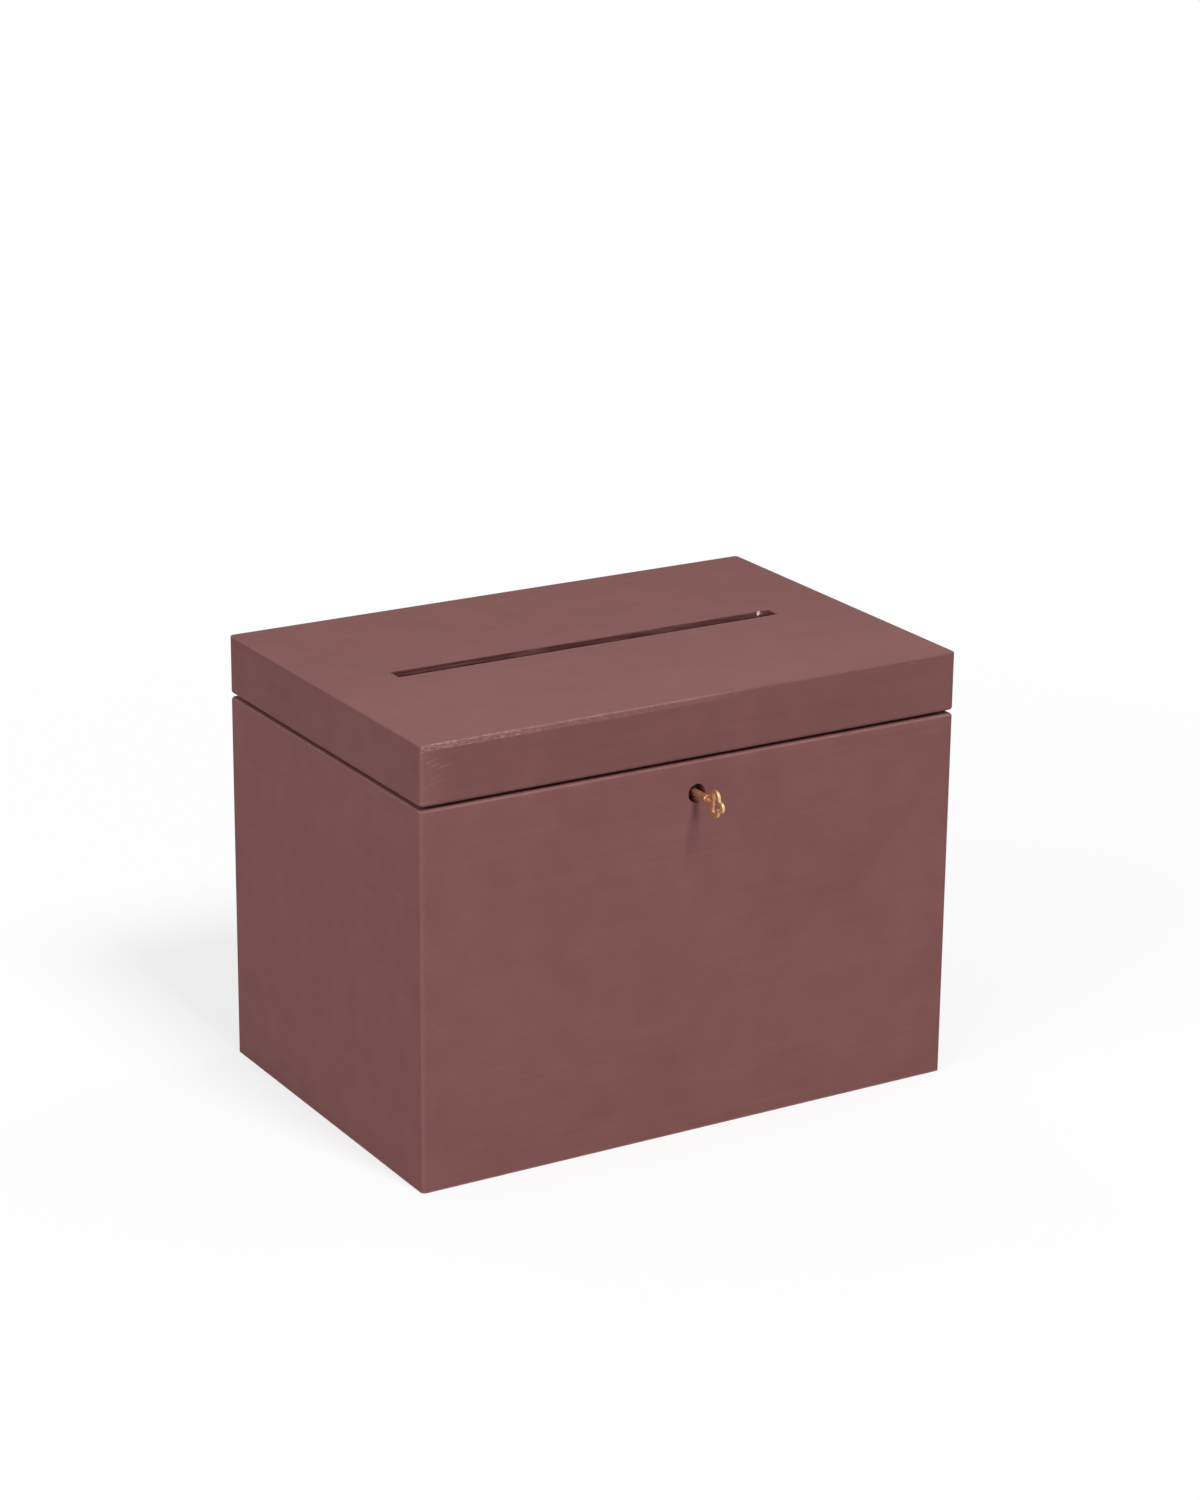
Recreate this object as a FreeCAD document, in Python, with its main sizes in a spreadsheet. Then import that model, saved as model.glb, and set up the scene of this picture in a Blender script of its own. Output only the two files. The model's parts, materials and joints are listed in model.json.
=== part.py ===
"""Envelope box: a painted wooden box with a hinged, slotted lid and a small key lock.

Millimetres. +X runs to the right along the front, +Y to the rear and +Z up.
The origin is the middle of the underside.
"""
import FreeCAD, Part
import os
from math import cos, radians, sin

import Sketcher

doc = FreeCAD.newDocument("envelope_box")

# Driving sizes, in millimetres, with angles in degrees
SIZES = {
    # Box and lid
    "box_length": 300,
    "box_depth": 200,
    "body_height": 192,
    "lid_height": 30.1,
    "seam_gap": 1.8,
    "wall_thickness": 8,
    "top_thickness": 3,
    "base_thickness": 4,
    "base_rebate": 4,
    "base_clearance": 0.2,
    "corner_round": 2.3,
    "rim_round": 1.6,
    "lid_lower_round": 1.6,
    "lid_upper_round": 1.2,
    # Lip inside the seam that the lid rests on
    "lip_thickness": 3,
    "lip_clearance": 0.1,
    # Letter slot
    "slot_length": 218,
    "slot_width": 9,
    "slot_setback": 2,
    "slot_edge_round": 0.4,
    # Hinges
    "hinge_end_setback": 55,
    "hinge_length": 26,
    "hinge_inset": 1.2,
    "barrel_radius": 2.0,
    "barrel_clearance": 0.4,
    "hinge_pin_radius": 1.1,
    "running_clearance": 0.05,
    "knuckle_length": 9,
    "knuckle_gap": 0.2,
    "leaf_thickness": 0.9,
    "leaf_gap": 0.3,
    "leaf_reach": 5.8,
    "mortise_clearance": 0.1,
    # Hinge screws
    "hinge_screw_radius": 0.9,
    "hinge_screw_head_radius": 1.6,
    "hinge_screw_length": 9,
    "hinge_screw_spacing": 15,
    "hinge_screw_setback": 3.9,
    "screw_clearance": 0.05,
    "screw_tip_length": 1.6,
    "screw_slot_width": 0.5,
    "screw_slot_depth": 0.35,
    # Lock plate and case
    "keyhole_radius": 4.8,
    "key_drop": 16.3,
    "lock_plate_width": 42,
    "lock_plate_height": 26,
    "lock_plate_thickness": 1.0,
    "lock_plate_margin": 1.0,
    "keyway_clearance": 0.3,
    "case_width": 29,
    "case_depth": 6,
    "case_margin": 1.2,
    "case_sheet": 0.8,
    "case_tab_width": 6,
    "lock_screw_radius": 1.1,
    "lock_screw_head_radius": 2.1,
    "lock_screw_length": 6,
    "lock_screw_inset": 3.2,
    # Turning hook, its pin and its spring
    "hub_radius": 5.6,
    "hub_clearance": 0.3,
    "hub_floor": 1.2,
    "journal_radius": 3.2,
    "journal_proud": 0.4,
    "drill_pin_radius": 0.9,
    "drill_pin_seat": 0.02,
    "hook_inner_radius": 9.2,
    "hook_outer_radius": 11.8,
    "hook_lead_angle": 122,
    "hook_tail_angle": 188,
    "hook_turn": 90,
    "spoke_width": 3,
    "spring_thickness": 0.35,
    "spring_width": 3,
    "spring_length": 20,
    "spring_foot": 3.4,
    "spring_crown": 6.6,
    "spring_room": 1.2,
    "spring_clearance": 0.15,
    # Strike
    "strike_width": 30,
    "strike_height": 12,
    "strike_thickness": 1.4,
    "strike_margin": 1.5,
    "strike_screw_spacing": 23,
    "tongue_left": 1.9,
    "tongue_width": 11.1,
    "tongue_foot": 2.5,
    "tongue_clearance": 0.9,
    "hook_clearance": 0.3,
    "hook_end_angle": 2,
    # Key
    "shank_radius": 1.8,
    "bit_radius": 4.5,
    "bit_thickness": 1.6,
    "bit_clearance": 0.3,
    "key_end_clearance": 0.3,
    "collar_radius": 2.15,
    "collar_length": 1.4,
    "collar_reach": 9.8,
    "bow_reach": 24.2,
    "bow_thickness": 1.4,
    "bow_side_radius": 4.1,
    "bow_side_spread": 3.1,
    "bow_side_step": 5.2,
    "bow_middle_radius": 3.6,
    "bow_middle_step": 3.5,
    "bow_end_radius": 2.8,
    "bow_side_hole_radius": 1.8,
    "bow_side_hole_spread": 3.4,
    "bow_side_hole_step": 4.6,
    "bow_middle_hole_radius": 2.2,
    "bow_end_hole_radius": 1.6,
    "bow_end_hole_step": 1.1,
    "bow_edge_round": 0.32,
}

sizes = doc.addObject("Spreadsheet::Sheet", "sizes")
for row, (alias, size) in enumerate(SIZES.items(), start=1):
    sizes.set(f"A{row}", alias)
    sizes.set(f"B{row}", str(size))
    sizes.setAlias(f"B{row}", alias)
doc.recompute()

# Places that several pieces share, worked out from the sizes
PLACES = {
    "half_length": "sizes.box_length / 2",
    "half_depth": "sizes.box_depth / 2",
    "inner_half_length": "half_length - sizes.wall_thickness",
    "inner_half_depth": "half_depth - sizes.wall_thickness",
    "lid_bottom": "sizes.body_height + sizes.seam_gap",
    "lid_top": "lid_bottom + sizes.lid_height",
    "rail_top": "lid_top - sizes.top_thickness",
    "rebate_half_length": "inner_half_length + sizes.base_rebate",
    "rebate_half_depth": "inner_half_depth + sizes.base_rebate",
    "lip_half_length": "inner_half_length + sizes.lip_thickness",
    "lip_half_depth": "inner_half_depth + sizes.lip_thickness",
    "lip_top": "lid_bottom - sizes.lip_clearance",
    # Hinge axis, and the faces of the leaves
    "hinge_y": "half_depth - sizes.hinge_inset",
    "hinge_z": "sizes.body_height + sizes.seam_gap / 2",
    "body_leaf_top": "hinge_z - sizes.leaf_gap / 2",
    "body_leaf_bottom": "body_leaf_top - sizes.leaf_thickness",
    "lid_leaf_bottom": "hinge_z + sizes.leaf_gap / 2",
    "lid_leaf_top": "lid_leaf_bottom + sizes.leaf_thickness",
    "hinge_screw_y": "hinge_y - sizes.hinge_screw_setback",
    # Lock, from the front of the box inwards
    "key_z": "sizes.body_height - sizes.key_drop",
    "inner_front": "-inner_half_depth",
    "plate_back": "inner_front - sizes.tongue_clearance",
    "plate_front": "plate_back - sizes.lock_plate_thickness",
    "plate_top": "sizes.body_height - sizes.lock_plate_margin",
    "plate_bottom": "plate_top - sizes.lock_plate_height",
    "case_inside": "plate_back + sizes.case_depth",
    "case_back": "case_inside + sizes.case_sheet",
    "case_top": "plate_top - sizes.case_margin",
    "case_floor": "key_z - sizes.hub_radius - sizes.spring_room",
    "lock_screw_x": "sizes.lock_plate_width / 2 - sizes.lock_screw_inset",
    "lock_screw_low": "plate_bottom + sizes.lock_screw_inset",
    "lock_screw_high": "plate_top - sizes.lock_screw_inset",
    "hub_front": "plate_back + sizes.hub_clearance",
    "hub_back": "case_inside - sizes.hub_clearance",
    "hub_bottom": "hub_back - sizes.hub_floor",
    "journal_back": "case_back + sizes.journal_proud",
    "key_tip": "hub_bottom - sizes.key_end_clearance",
    # Strike on the lid
    "strike_back": "inner_front + sizes.strike_thickness",
    "strike_bottom": "lid_bottom + sizes.strike_margin",
    "strike_top": "strike_bottom + sizes.strike_height",
    "tongue_right": "sizes.tongue_left + sizes.tongue_width",
    "strike_x": "sizes.tongue_left + sizes.tongue_width / 2",
    "strike_screw_z": "strike_bottom + sizes.strike_height / 2",
    # Key, from the face of the front wall outwards
    "front_face": "-half_depth",
    "collar_front": "front_face - sizes.collar_reach",
    "end_lobe_y": "front_face - sizes.bow_reach + sizes.bow_end_radius",
    "end_hole_y": "end_lobe_y + sizes.bow_end_hole_step",
    "bow_middle_y": "end_lobe_y + sizes.bow_middle_step",
    "side_hole_y": "end_lobe_y + sizes.bow_side_hole_step",
    "side_lobe_y": "end_lobe_y + sizes.bow_side_step",
    "bow_neck_y": "bow_middle_y + sizes.bow_middle_radius",
}

places = doc.addObject("App::VarSet", "places")
for name, formula in PLACES.items():
    places.addProperty("App::PropertyFloat", name)
    places.setExpression(name, formula)
doc.recompute()

# Each direction of a prism, with the origin plane that it stands on
PLANE_ROLES = {"X": "YZ_Plane", "Y": "XZ_Plane", "Z": "XY_Plane"}
ORIGIN_POINT = (-1, 1)
# How far a cut runs past an open face
PAST = 1.0
# Two lengths closer than this count as equal
SNAP = 1e-6
# Largest share of a neighbouring size that a round or bevel may take
ROUND_SHARE = 0.95


def value(formula):
    """The number that a formula of sizes and places comes to."""
    return float(sizes.evalExpression(str(formula)))


def new_body(label):
    body = doc.addObject("PartDesign::Body", label)
    body.Label = label
    return body


def new_sketch(body, axis, level):
    """An empty sketch square to an axis, at a level along it."""
    sketch = body.newObject("Sketcher::SketchObject", f"{body.Name}_outline")
    role = PLANE_ROLES[axis]
    plane = [feature for feature in body.Origin.OriginFeatures if feature.Role == role][0]
    sketch.AttachmentSupport = [(plane, "")]
    sketch.MapMode = "FlatFace"
    # The XZ plane faces -Y, so levels along Y count backwards there
    sign = "-" if axis == "Y" else ""
    sketch.setExpression("AttachmentOffset.Base.z", f"{sign}({level})")
    return sketch


def bind(sketch, kind, geometry, formula):
    """Add a dimension to a sketch and tie it to a formula."""
    start = value(formula)
    if kind == "Angle":
        start = radians(start)
    index = sketch.addConstraint(Sketcher.Constraint(kind, *geometry, start))
    name = f"{kind.lower()}_{index}"
    sketch.renameConstraint(index, name)
    sketch.setExpression(f"Constraints.{name}", str(formula))


def place_point(sketch, point, across, up):
    bind(sketch, "DistanceX", (*ORIGIN_POINT, *point), across)
    bind(sketch, "DistanceY", (*ORIGIN_POINT, *point), up)


def add_polygon(sketch, corners):
    points = [FreeCAD.Vector(value(across), value(up), 0) for across, up in corners]
    lines = []
    for start, end in zip(points, points[1:] + points[:1]):
        lines.append(sketch.addGeometry(Part.LineSegment(start, end)))
    for line, following in zip(lines, lines[1:] + lines[:1]):
        sketch.addConstraint(Sketcher.Constraint("Coincident", line, 2, following, 1))
    for line, (across, up) in zip(lines, corners):
        place_point(sketch, (line, 1), across, up)


def add_circle(sketch, centre, radius):
    middle = FreeCAD.Vector(value(centre[0]), value(centre[1]), 0)
    circle = Part.Circle(middle, FreeCAD.Vector(0, 0, 1), value(radius))
    index = sketch.addGeometry(circle)
    place_point(sketch, (index, 3), *centre)
    bind(sketch, "Radius", (index,), radius)


def add_band(sketch, centre, inner_radius, outer_radius, start_angle, end_angle):
    """A piece of a ring between two angles, counted from the first axis of the sketch."""
    middle = FreeCAD.Vector(value(centre[0]), value(centre[1]), 0)
    angles = [radians(value(angle)) for angle in (start_angle, end_angle)]
    arcs = []
    for radius in (inner_radius, outer_radius):
        circle = Part.Circle(middle, FreeCAD.Vector(0, 0, 1), value(radius))
        arcs.append(sketch.addGeometry(Part.ArcOfCircle(circle, *angles)))
    inner, outer = arcs
    sketch.addConstraint(Sketcher.Constraint("Coincident", inner, 3, outer, 3))
    place_point(sketch, (outer, 3), *centre)
    bind(sketch, "Radius", (inner,), inner_radius)
    bind(sketch, "Radius", (outer,), outer_radius)
    for end, formula, angle in zip((1, 2), (start_angle, end_angle), angles):
        ray = FreeCAD.Vector(cos(angle), sin(angle), 0)
        near = middle + ray * value(inner_radius)
        far = middle + ray * value(outer_radius)
        line = sketch.addGeometry(Part.LineSegment(near, far))
        sketch.addConstraint(Sketcher.Constraint("Coincident", line, 1, inner, end))
        sketch.addConstraint(Sketcher.Constraint("Coincident", line, 2, outer, end))
        sketch.addConstraint(Sketcher.Constraint("PointOnObject", outer, 3, line))
        bind(sketch, "Angle", (line,), formula)


def prism(body, axis, low, high, polygons=(), circles=(), bands=(), cut=False):
    """Add a straight prism between two levels along an axis, or cut one away."""
    doc.recompute()
    before = 0 if body.Shape.isNull() else body.Shape.Volume
    sketch = new_sketch(body, axis, low)
    for corners in polygons:
        add_polygon(sketch, corners)
    for centre, radius in circles:
        add_circle(sketch, centre, radius)
    for band in bands:
        add_band(sketch, *band)
    kind = "Pocket" if cut else "Pad"
    feature = body.newObject(f"PartDesign::{kind}", f"{body.Name}_{kind.lower()}")
    feature.Profile = sketch
    feature.setExpression("Length", f"({high}) - ({low})")
    feature.Reversed = (axis == "Y") != cut
    doc.recompute()
    after = body.Shape.Volume
    if (after >= before) if cut else (after <= before):
        raise RuntimeError(f"{feature.Name} changes nothing")
    return feature


def rectangle(left, right, low, high):
    return [(left, low), (right, low), (right, high), (left, high)]


def edge_names(shape, test):
    return [f"Edge{index}" for index, edge in enumerate(shape.Edges, start=1) if test(edge)]


def dress_edges(body, kind, size_property, size, test):
    """Round or bevel the edges of a body that pass a test."""
    doc.recompute()
    base = body.Tip
    names = edge_names(base.Shape, test)
    if not names:
        raise RuntimeError(f"{body.Label} has no edge to dress")
    feature = body.newObject(f"PartDesign::{kind}", f"{body.Name}_{kind.lower()}")
    feature.Base = (base, names)
    feature.setExpression(size_property, size)
    doc.recompute()
    return feature


def near(first, second):
    return abs(first - second) < SNAP


def spans(edge, axis):
    """True for a straight edge along an axis."""
    box = edge.BoundBox
    extents = {"X": box.XLength, "Y": box.YLength, "Z": box.ZLength}
    length = extents.pop(axis)
    return length > SNAP and all(extent < SNAP for extent in extents.values())


def lies_at(edge, axis, level):
    """True for an edge that lies wholly at one level along an axis."""
    box = edge.BoundBox
    low, high = {
        "X": (box.XMin, box.XMax),
        "Y": (box.YMin, box.YMax),
        "Z": (box.ZMin, box.ZMax),
    }[axis]
    return near(low, level) and near(high, level)


def round_board_ends(body, outer_x):
    """Round the two outer upright corners of a side board."""
    level = value(outer_x)
    dress_edges(
        body, "Fillet", "Radius", "sizes.corner_round",
        lambda edge: spans(edge, "Z") and lies_at(edge, "X", level),
    )


def round_seam(body, seam_z, radius, inner_x=None):
    """Round the outer edge of a board where lid and box meet."""
    level = value(seam_z)
    half_depth = value("places.half_depth")
    half_length = value("places.half_length")

    def on_outside(edge):
        if not lies_at(edge, "Z", level):
            return False
        middle = edge.CenterOfMass
        if near(abs(middle.y), half_depth):
            return True
        if inner_x is None:
            return False
        # The outer edge of a side board, and its two corner arcs
        outside_x = near(abs(middle.x), half_length)
        is_arc = edge.Curve.TypeId == "Part::GeomCircle" and abs(middle.x) > value(inner_x)
        return outside_x or is_arc

    limited = f"min({radius}; sizes.corner_round * {ROUND_SHARE})"
    dress_edges(body, "Fillet", "Radius", limited, on_outside)


HINGE_SIDES = {"left": "-1", "right": "1"}


def hinge_x(side):
    return f"{HINGE_SIDES[side]} * (places.half_length - sizes.hinge_end_setback)"


def cut_hinge_seats(body, seat_low, seat_high, pilot_low, pilot_high):
    """Cut the mortise, the barrel recess and the screw holes of both hinges."""
    pilots = []
    for side in HINGE_SIDES:
        middle = hinge_x(side)
        left = f"{middle} - sizes.hinge_length / 2 - sizes.mortise_clearance"
        right = f"{middle} + sizes.hinge_length / 2 + sizes.mortise_clearance"
        seat_front = "places.hinge_y - sizes.leaf_reach - sizes.mortise_clearance"
        seat = rectangle(left, right, seat_front, f"places.half_depth + {PAST}")
        prism(body, "Z", seat_low, seat_high, polygons=[seat], cut=True)
        barrel = (("places.hinge_y", "places.hinge_z"), "sizes.barrel_radius + sizes.barrel_clearance")
        prism(body, "X", left, right, circles=[barrel], cut=True)
        for sign in ("-", "+"):
            centre = (f"{middle} {sign} sizes.hinge_screw_spacing / 2", "places.hinge_screw_y")
            pilots.append((centre, "sizes.hinge_screw_radius + sizes.screw_clearance"))
    prism(body, "Z", pilot_low, pilot_high, circles=pilots, cut=True)


# Box

def make_front_wall():
    body = new_body("front_wall")
    outline = rectangle(
        "-places.inner_half_length", "places.inner_half_length",
        "-places.half_depth", "-places.inner_half_depth",
    )
    prism(body, "Z", "0", "sizes.body_height", polygons=[outline])
    rebate = rectangle(
        "-places.inner_half_length", "places.inner_half_length",
        "-places.rebate_half_depth", "-places.inner_half_depth",
    )
    prism(body, "Z", "0", "sizes.base_thickness", polygons=[rebate], cut=True)
    lip = rectangle(
        "-places.inner_half_length", "places.inner_half_length",
        "-places.lip_half_depth", "-places.inner_half_depth",
    )
    prism(body, "Z", "sizes.body_height", "places.lip_top", polygons=[lip])
    round_seam(body, "sizes.body_height", "sizes.rim_round")
    # The lock's recess runs up through the lip, which is left thin there
    recess = rectangle(
        "-sizes.lock_plate_width / 2 - sizes.mortise_clearance",
        "sizes.lock_plate_width / 2 + sizes.mortise_clearance",
        "places.plate_bottom - sizes.mortise_clearance", f"places.lip_top + {PAST}",
    )
    prism(body, "Y", "places.plate_front", "places.inner_front", polygons=[recess], cut=True)
    keyhole = (("0", "places.key_z"), "sizes.keyhole_radius")
    prism(body, "Y", "places.front_face", "places.plate_front", circles=[keyhole], cut=True)
    pilot_end = "places.plate_back - sizes.lock_screw_length"
    prism(body, "Y", pilot_end, "places.plate_front", circles=lock_screw_holes(), cut=True)
    return body


def lock_screw_places():
    levels = ("places.lock_screw_low", "places.lock_screw_high")
    return [(f"{sign}places.lock_screw_x", level) for level in levels for sign in ("-", "")]


def lock_screw_holes():
    radius = "sizes.lock_screw_radius + sizes.screw_clearance"
    return [(centre, radius) for centre in lock_screw_places()]


def make_rear_wall():
    body = new_body("rear_wall")
    outline = rectangle(
        "-places.inner_half_length", "places.inner_half_length",
        "places.inner_half_depth", "places.half_depth",
    )
    prism(body, "Z", "0", "sizes.body_height", polygons=[outline])
    rebate = rectangle(
        "-places.inner_half_length", "places.inner_half_length",
        "places.inner_half_depth", "places.rebate_half_depth",
    )
    prism(body, "Z", "0", "sizes.base_thickness", polygons=[rebate], cut=True)
    round_seam(body, "sizes.body_height", "sizes.rim_round")
    cut_hinge_seats(
        body, "places.body_leaf_bottom", f"sizes.body_height + {PAST}",
        "places.body_leaf_top - sizes.hinge_screw_length", "places.body_leaf_bottom",
    )
    return body


def make_side_wall(label, sign):
    body = new_body(label)
    outline = rectangle(
        f"{sign} * places.inner_half_length", f"{sign} * places.half_length",
        "-places.half_depth", "places.half_depth",
    )
    prism(body, "Z", "0", "sizes.body_height", polygons=[outline])
    rebate = rectangle(
        f"{sign} * places.inner_half_length", f"{sign} * places.rebate_half_length",
        "-places.rebate_half_depth", "places.rebate_half_depth",
    )
    prism(body, "Z", "0", "sizes.base_thickness", polygons=[rebate], cut=True)
    lip = rectangle(
        f"{sign} * places.inner_half_length", f"{sign} * places.lip_half_length",
        "-places.lip_half_depth", "places.inner_half_depth",
    )
    prism(body, "Z", "sizes.body_height", "places.lip_top", polygons=[lip])
    round_board_ends(body, f"{sign} * places.half_length")
    round_seam(body, "sizes.body_height", "sizes.rim_round", "places.inner_half_length")
    return body


def make_base_panel():
    body = new_body("base_panel")
    half_length = "places.rebate_half_length - sizes.base_clearance"
    half_depth = "places.rebate_half_depth - sizes.base_clearance"
    outline = rectangle(f"-({half_length})", half_length, f"-({half_depth})", half_depth)
    prism(body, "Z", "0", "sizes.base_thickness", polygons=[outline])
    return body


# Lid

def make_lid_front_rail():
    body = new_body("lid_front_rail")
    outline = rectangle(
        "-places.inner_half_length", "places.inner_half_length",
        "-places.half_depth", "-places.inner_half_depth",
    )
    prism(body, "Z", "places.lid_bottom", "places.rail_top", polygons=[outline])
    round_seam(body, "places.lid_bottom", "sizes.lid_lower_round")
    pilot_end = "places.strike_back - sizes.lock_screw_length"
    prism(body, "Y", pilot_end, "places.inner_front", circles=strike_screw_holes(), cut=True)
    return body


def strike_screw_places():
    return [
        (f"places.strike_x {sign} sizes.strike_screw_spacing / 2", "places.strike_screw_z")
        for sign in ("-", "+")
    ]


def strike_screw_holes():
    radius = "sizes.lock_screw_radius + sizes.screw_clearance"
    return [(centre, radius) for centre in strike_screw_places()]


def make_lid_rear_rail():
    body = new_body("lid_rear_rail")
    outline = rectangle(
        "-places.inner_half_length", "places.inner_half_length",
        "places.inner_half_depth", "places.half_depth",
    )
    prism(body, "Z", "places.lid_bottom", "places.rail_top", polygons=[outline])
    round_seam(body, "places.lid_bottom", "sizes.lid_lower_round")
    cut_hinge_seats(
        body, f"places.lid_bottom - {PAST}", "places.lid_leaf_top",
        "places.lid_leaf_top", "places.lid_leaf_bottom + sizes.hinge_screw_length",
    )
    return body


def make_lid_side_rail(label, sign):
    body = new_body(label)
    outline = rectangle(
        f"{sign} * places.inner_half_length", f"{sign} * places.half_length",
        "-places.half_depth", "places.half_depth",
    )
    prism(body, "Z", "places.lid_bottom", "places.rail_top", polygons=[outline])
    round_board_ends(body, f"{sign} * places.half_length")
    round_seam(body, "places.lid_bottom", "sizes.lid_lower_round", "places.inner_half_length")
    return body


def make_lid_top_panel():
    body = new_body("lid_top_panel")
    outline = rectangle(
        "-places.half_length", "places.half_length", "-places.half_depth", "places.half_depth",
    )
    prism(body, "Z", "places.rail_top", "places.lid_top", polygons=[outline])
    dress_edges(body, "Fillet", "Radius", "sizes.corner_round", lambda edge: spans(edge, "Z"))
    top = value("places.lid_top")
    room = f"min(sizes.corner_round; sizes.top_thickness) * {ROUND_SHARE}"
    upper_round = f"min(sizes.lid_upper_round; {room})"
    dress_edges(body, "Fillet", "Radius", upper_round, lambda edge: lies_at(edge, "Z", top))
    slot = rectangle(
        "-sizes.slot_length / 2", "sizes.slot_length / 2",
        "sizes.slot_setback - sizes.slot_width / 2", "sizes.slot_setback + sizes.slot_width / 2",
    )
    prism(body, "Z", "places.rail_top", "places.lid_top", polygons=[slot], cut=True)
    reach_x = value("sizes.slot_length") / 2
    low_y = value("sizes.slot_setback - sizes.slot_width / 2")
    high_y = value("sizes.slot_setback + sizes.slot_width / 2")

    def on_slot_mouth(edge):
        middle = edge.CenterOfMass
        inside = abs(middle.x) < reach_x + SNAP and low_y - SNAP < middle.y < high_y + SNAP
        return inside and lies_at(edge, "Z", top)

    dress_edges(body, "Fillet", "Radius", "sizes.slot_edge_round", on_slot_mouth)
    return body


# Hinges

def leaf_outline(side):
    middle = hinge_x(side)
    return rectangle(
        f"{middle} - sizes.hinge_length / 2", f"{middle} + sizes.hinge_length / 2",
        "places.hinge_y - sizes.leaf_reach", "places.hinge_y",
    )


def drill_leaf(body, side, low, high, head_face):
    """Bore the knuckles for the pin and countersink the leaf for its two screws."""
    middle = hinge_x(side)
    bore = (("places.hinge_y", "places.hinge_z"), "sizes.hinge_pin_radius + sizes.running_clearance")
    prism(
        body, "X", f"{middle} - sizes.hinge_length / 2", f"{middle} + sizes.hinge_length / 2",
        circles=[bore], cut=True,
    )
    radius = "sizes.hinge_screw_radius + sizes.screw_clearance"
    holes = [
        ((f"{middle} {sign} sizes.hinge_screw_spacing / 2", "places.hinge_screw_y"), radius)
        for sign in ("-", "+")
    ]
    prism(body, "Z", low, high, circles=holes, cut=True)
    level = value(head_face)
    hole_radius = value(radius)
    dress_edges(
        body, "Chamfer", "Size", "sizes.hinge_screw_head_radius - sizes.hinge_screw_radius",
        lambda edge: edge.Curve.TypeId == "Part::GeomCircle" and lies_at(edge, "Z", level)
        and near(edge.Curve.Radius, hole_radius),
    )


def knuckle(body, low, high):
    outside = (("places.hinge_y", "places.hinge_z"), "sizes.barrel_radius")
    prism(body, "X", low, high, circles=[outside])


def clear_knuckle(body, left, right, low, high):
    """Cut a leaf back where the other leaf's knuckle turns."""
    notch = rectangle(
        left, right,
        "places.hinge_y - sizes.barrel_radius - sizes.knuckle_gap",
        "places.hinge_y + sizes.barrel_radius",
    )
    prism(body, "Z", low, high, polygons=[notch], cut=True)


def make_body_leaf(side):
    body = new_body(f"{side}_hinge_body_leaf")
    middle = hinge_x(side)
    low, high = "places.body_leaf_bottom", "places.body_leaf_top"
    prism(body, "Z", low, high, polygons=[leaf_outline(side)])
    near_end = "(sizes.knuckle_length + sizes.knuckle_gap) / 2"
    far_end = "sizes.hinge_length / 2"
    clear_knuckle(body, f"{middle} - {near_end}", f"{middle} + {near_end}", low, high)
    knuckle(body, f"{middle} - {far_end}", f"{middle} - {near_end}")
    knuckle(body, f"{middle} + {near_end}", f"{middle} + {far_end}")
    drill_leaf(body, side, low, high, high)
    return body


def make_lid_leaf(side):
    body = new_body(f"{side}_hinge_lid_leaf")
    middle = hinge_x(side)
    low, high = "places.lid_leaf_bottom", "places.lid_leaf_top"
    prism(body, "Z", low, high, polygons=[leaf_outline(side)])
    near_end = "(sizes.knuckle_length - sizes.knuckle_gap) / 2"
    far_end = f"(sizes.hinge_length / 2 + {PAST})"
    clear_knuckle(body, f"{middle} - {far_end}", f"{middle} - {near_end}", low, high)
    clear_knuckle(body, f"{middle} + {near_end}", f"{middle} + {far_end}", low, high)
    knuckle(body, f"{middle} - {near_end}", f"{middle} + {near_end}")
    drill_leaf(body, side, low, high, low)
    return body


def make_hinge_pin(side):
    pin = doc.addObject("Part::Cylinder", f"{side}_hinge_pin")
    pin.Label = f"{side}_hinge_pin"
    pin.Placement.Rotation = FreeCAD.Rotation(FreeCAD.Vector(0, 1, 0), 90)
    pin.setExpression("Radius", "sizes.hinge_pin_radius")
    pin.setExpression("Height", "sizes.hinge_length")
    pin.setExpression("Placement.Base.x", f"{hinge_x(side)} - sizes.hinge_length / 2")
    pin.setExpression("Placement.Base.y", "places.hinge_y")
    pin.setExpression("Placement.Base.z", "places.hinge_z")
    return pin


# Screws

def make_screw(label, radius, head_radius, length):
    """A countersunk screw, point down, with the face of its head at the origin."""
    body = new_body(label)
    sketch = new_sketch(body, "X", "0")
    add_polygon(sketch, [
        ("0", "0"),
        (head_radius, "0"),
        (radius, f"{radius} - {head_radius}"),
        (radius, f"sizes.screw_tip_length - {length}"),
        ("0", f"-({length})"),
    ])
    turned = body.newObject("PartDesign::Revolution", f"{body.Name}_turned")
    turned.Profile = sketch
    turned.ReferenceAxis = (sketch, ["V_Axis"])
    turned.Angle = 360
    half_slot = "sizes.screw_slot_width / 2"
    across = f"{head_radius} + {PAST}"
    slot = rectangle(f"-({across})", across, f"-{half_slot}", half_slot)
    prism(body, "Z", "-sizes.screw_slot_depth", "0", polygons=[slot], cut=True)
    return body


def make_screw_group(label, screw, spots, axis, angle):
    """Copies of one screw, turned about an axis and set at spots, as one node."""
    copies = []
    for across, back, up in spots:
        copy = doc.addObject("App::Link", f"{label}_copy")
        copy.LinkedObject = screw
        copy.Placement.Rotation = FreeCAD.Rotation(axis, angle)
        copy.setExpression("Placement.Base.x", across)
        copy.setExpression("Placement.Base.y", back)
        copy.setExpression("Placement.Base.z", up)
        copies.append(copy)
    group = doc.addObject("Part::Compound", label)
    group.Label = label
    group.Links = copies
    return group


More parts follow.
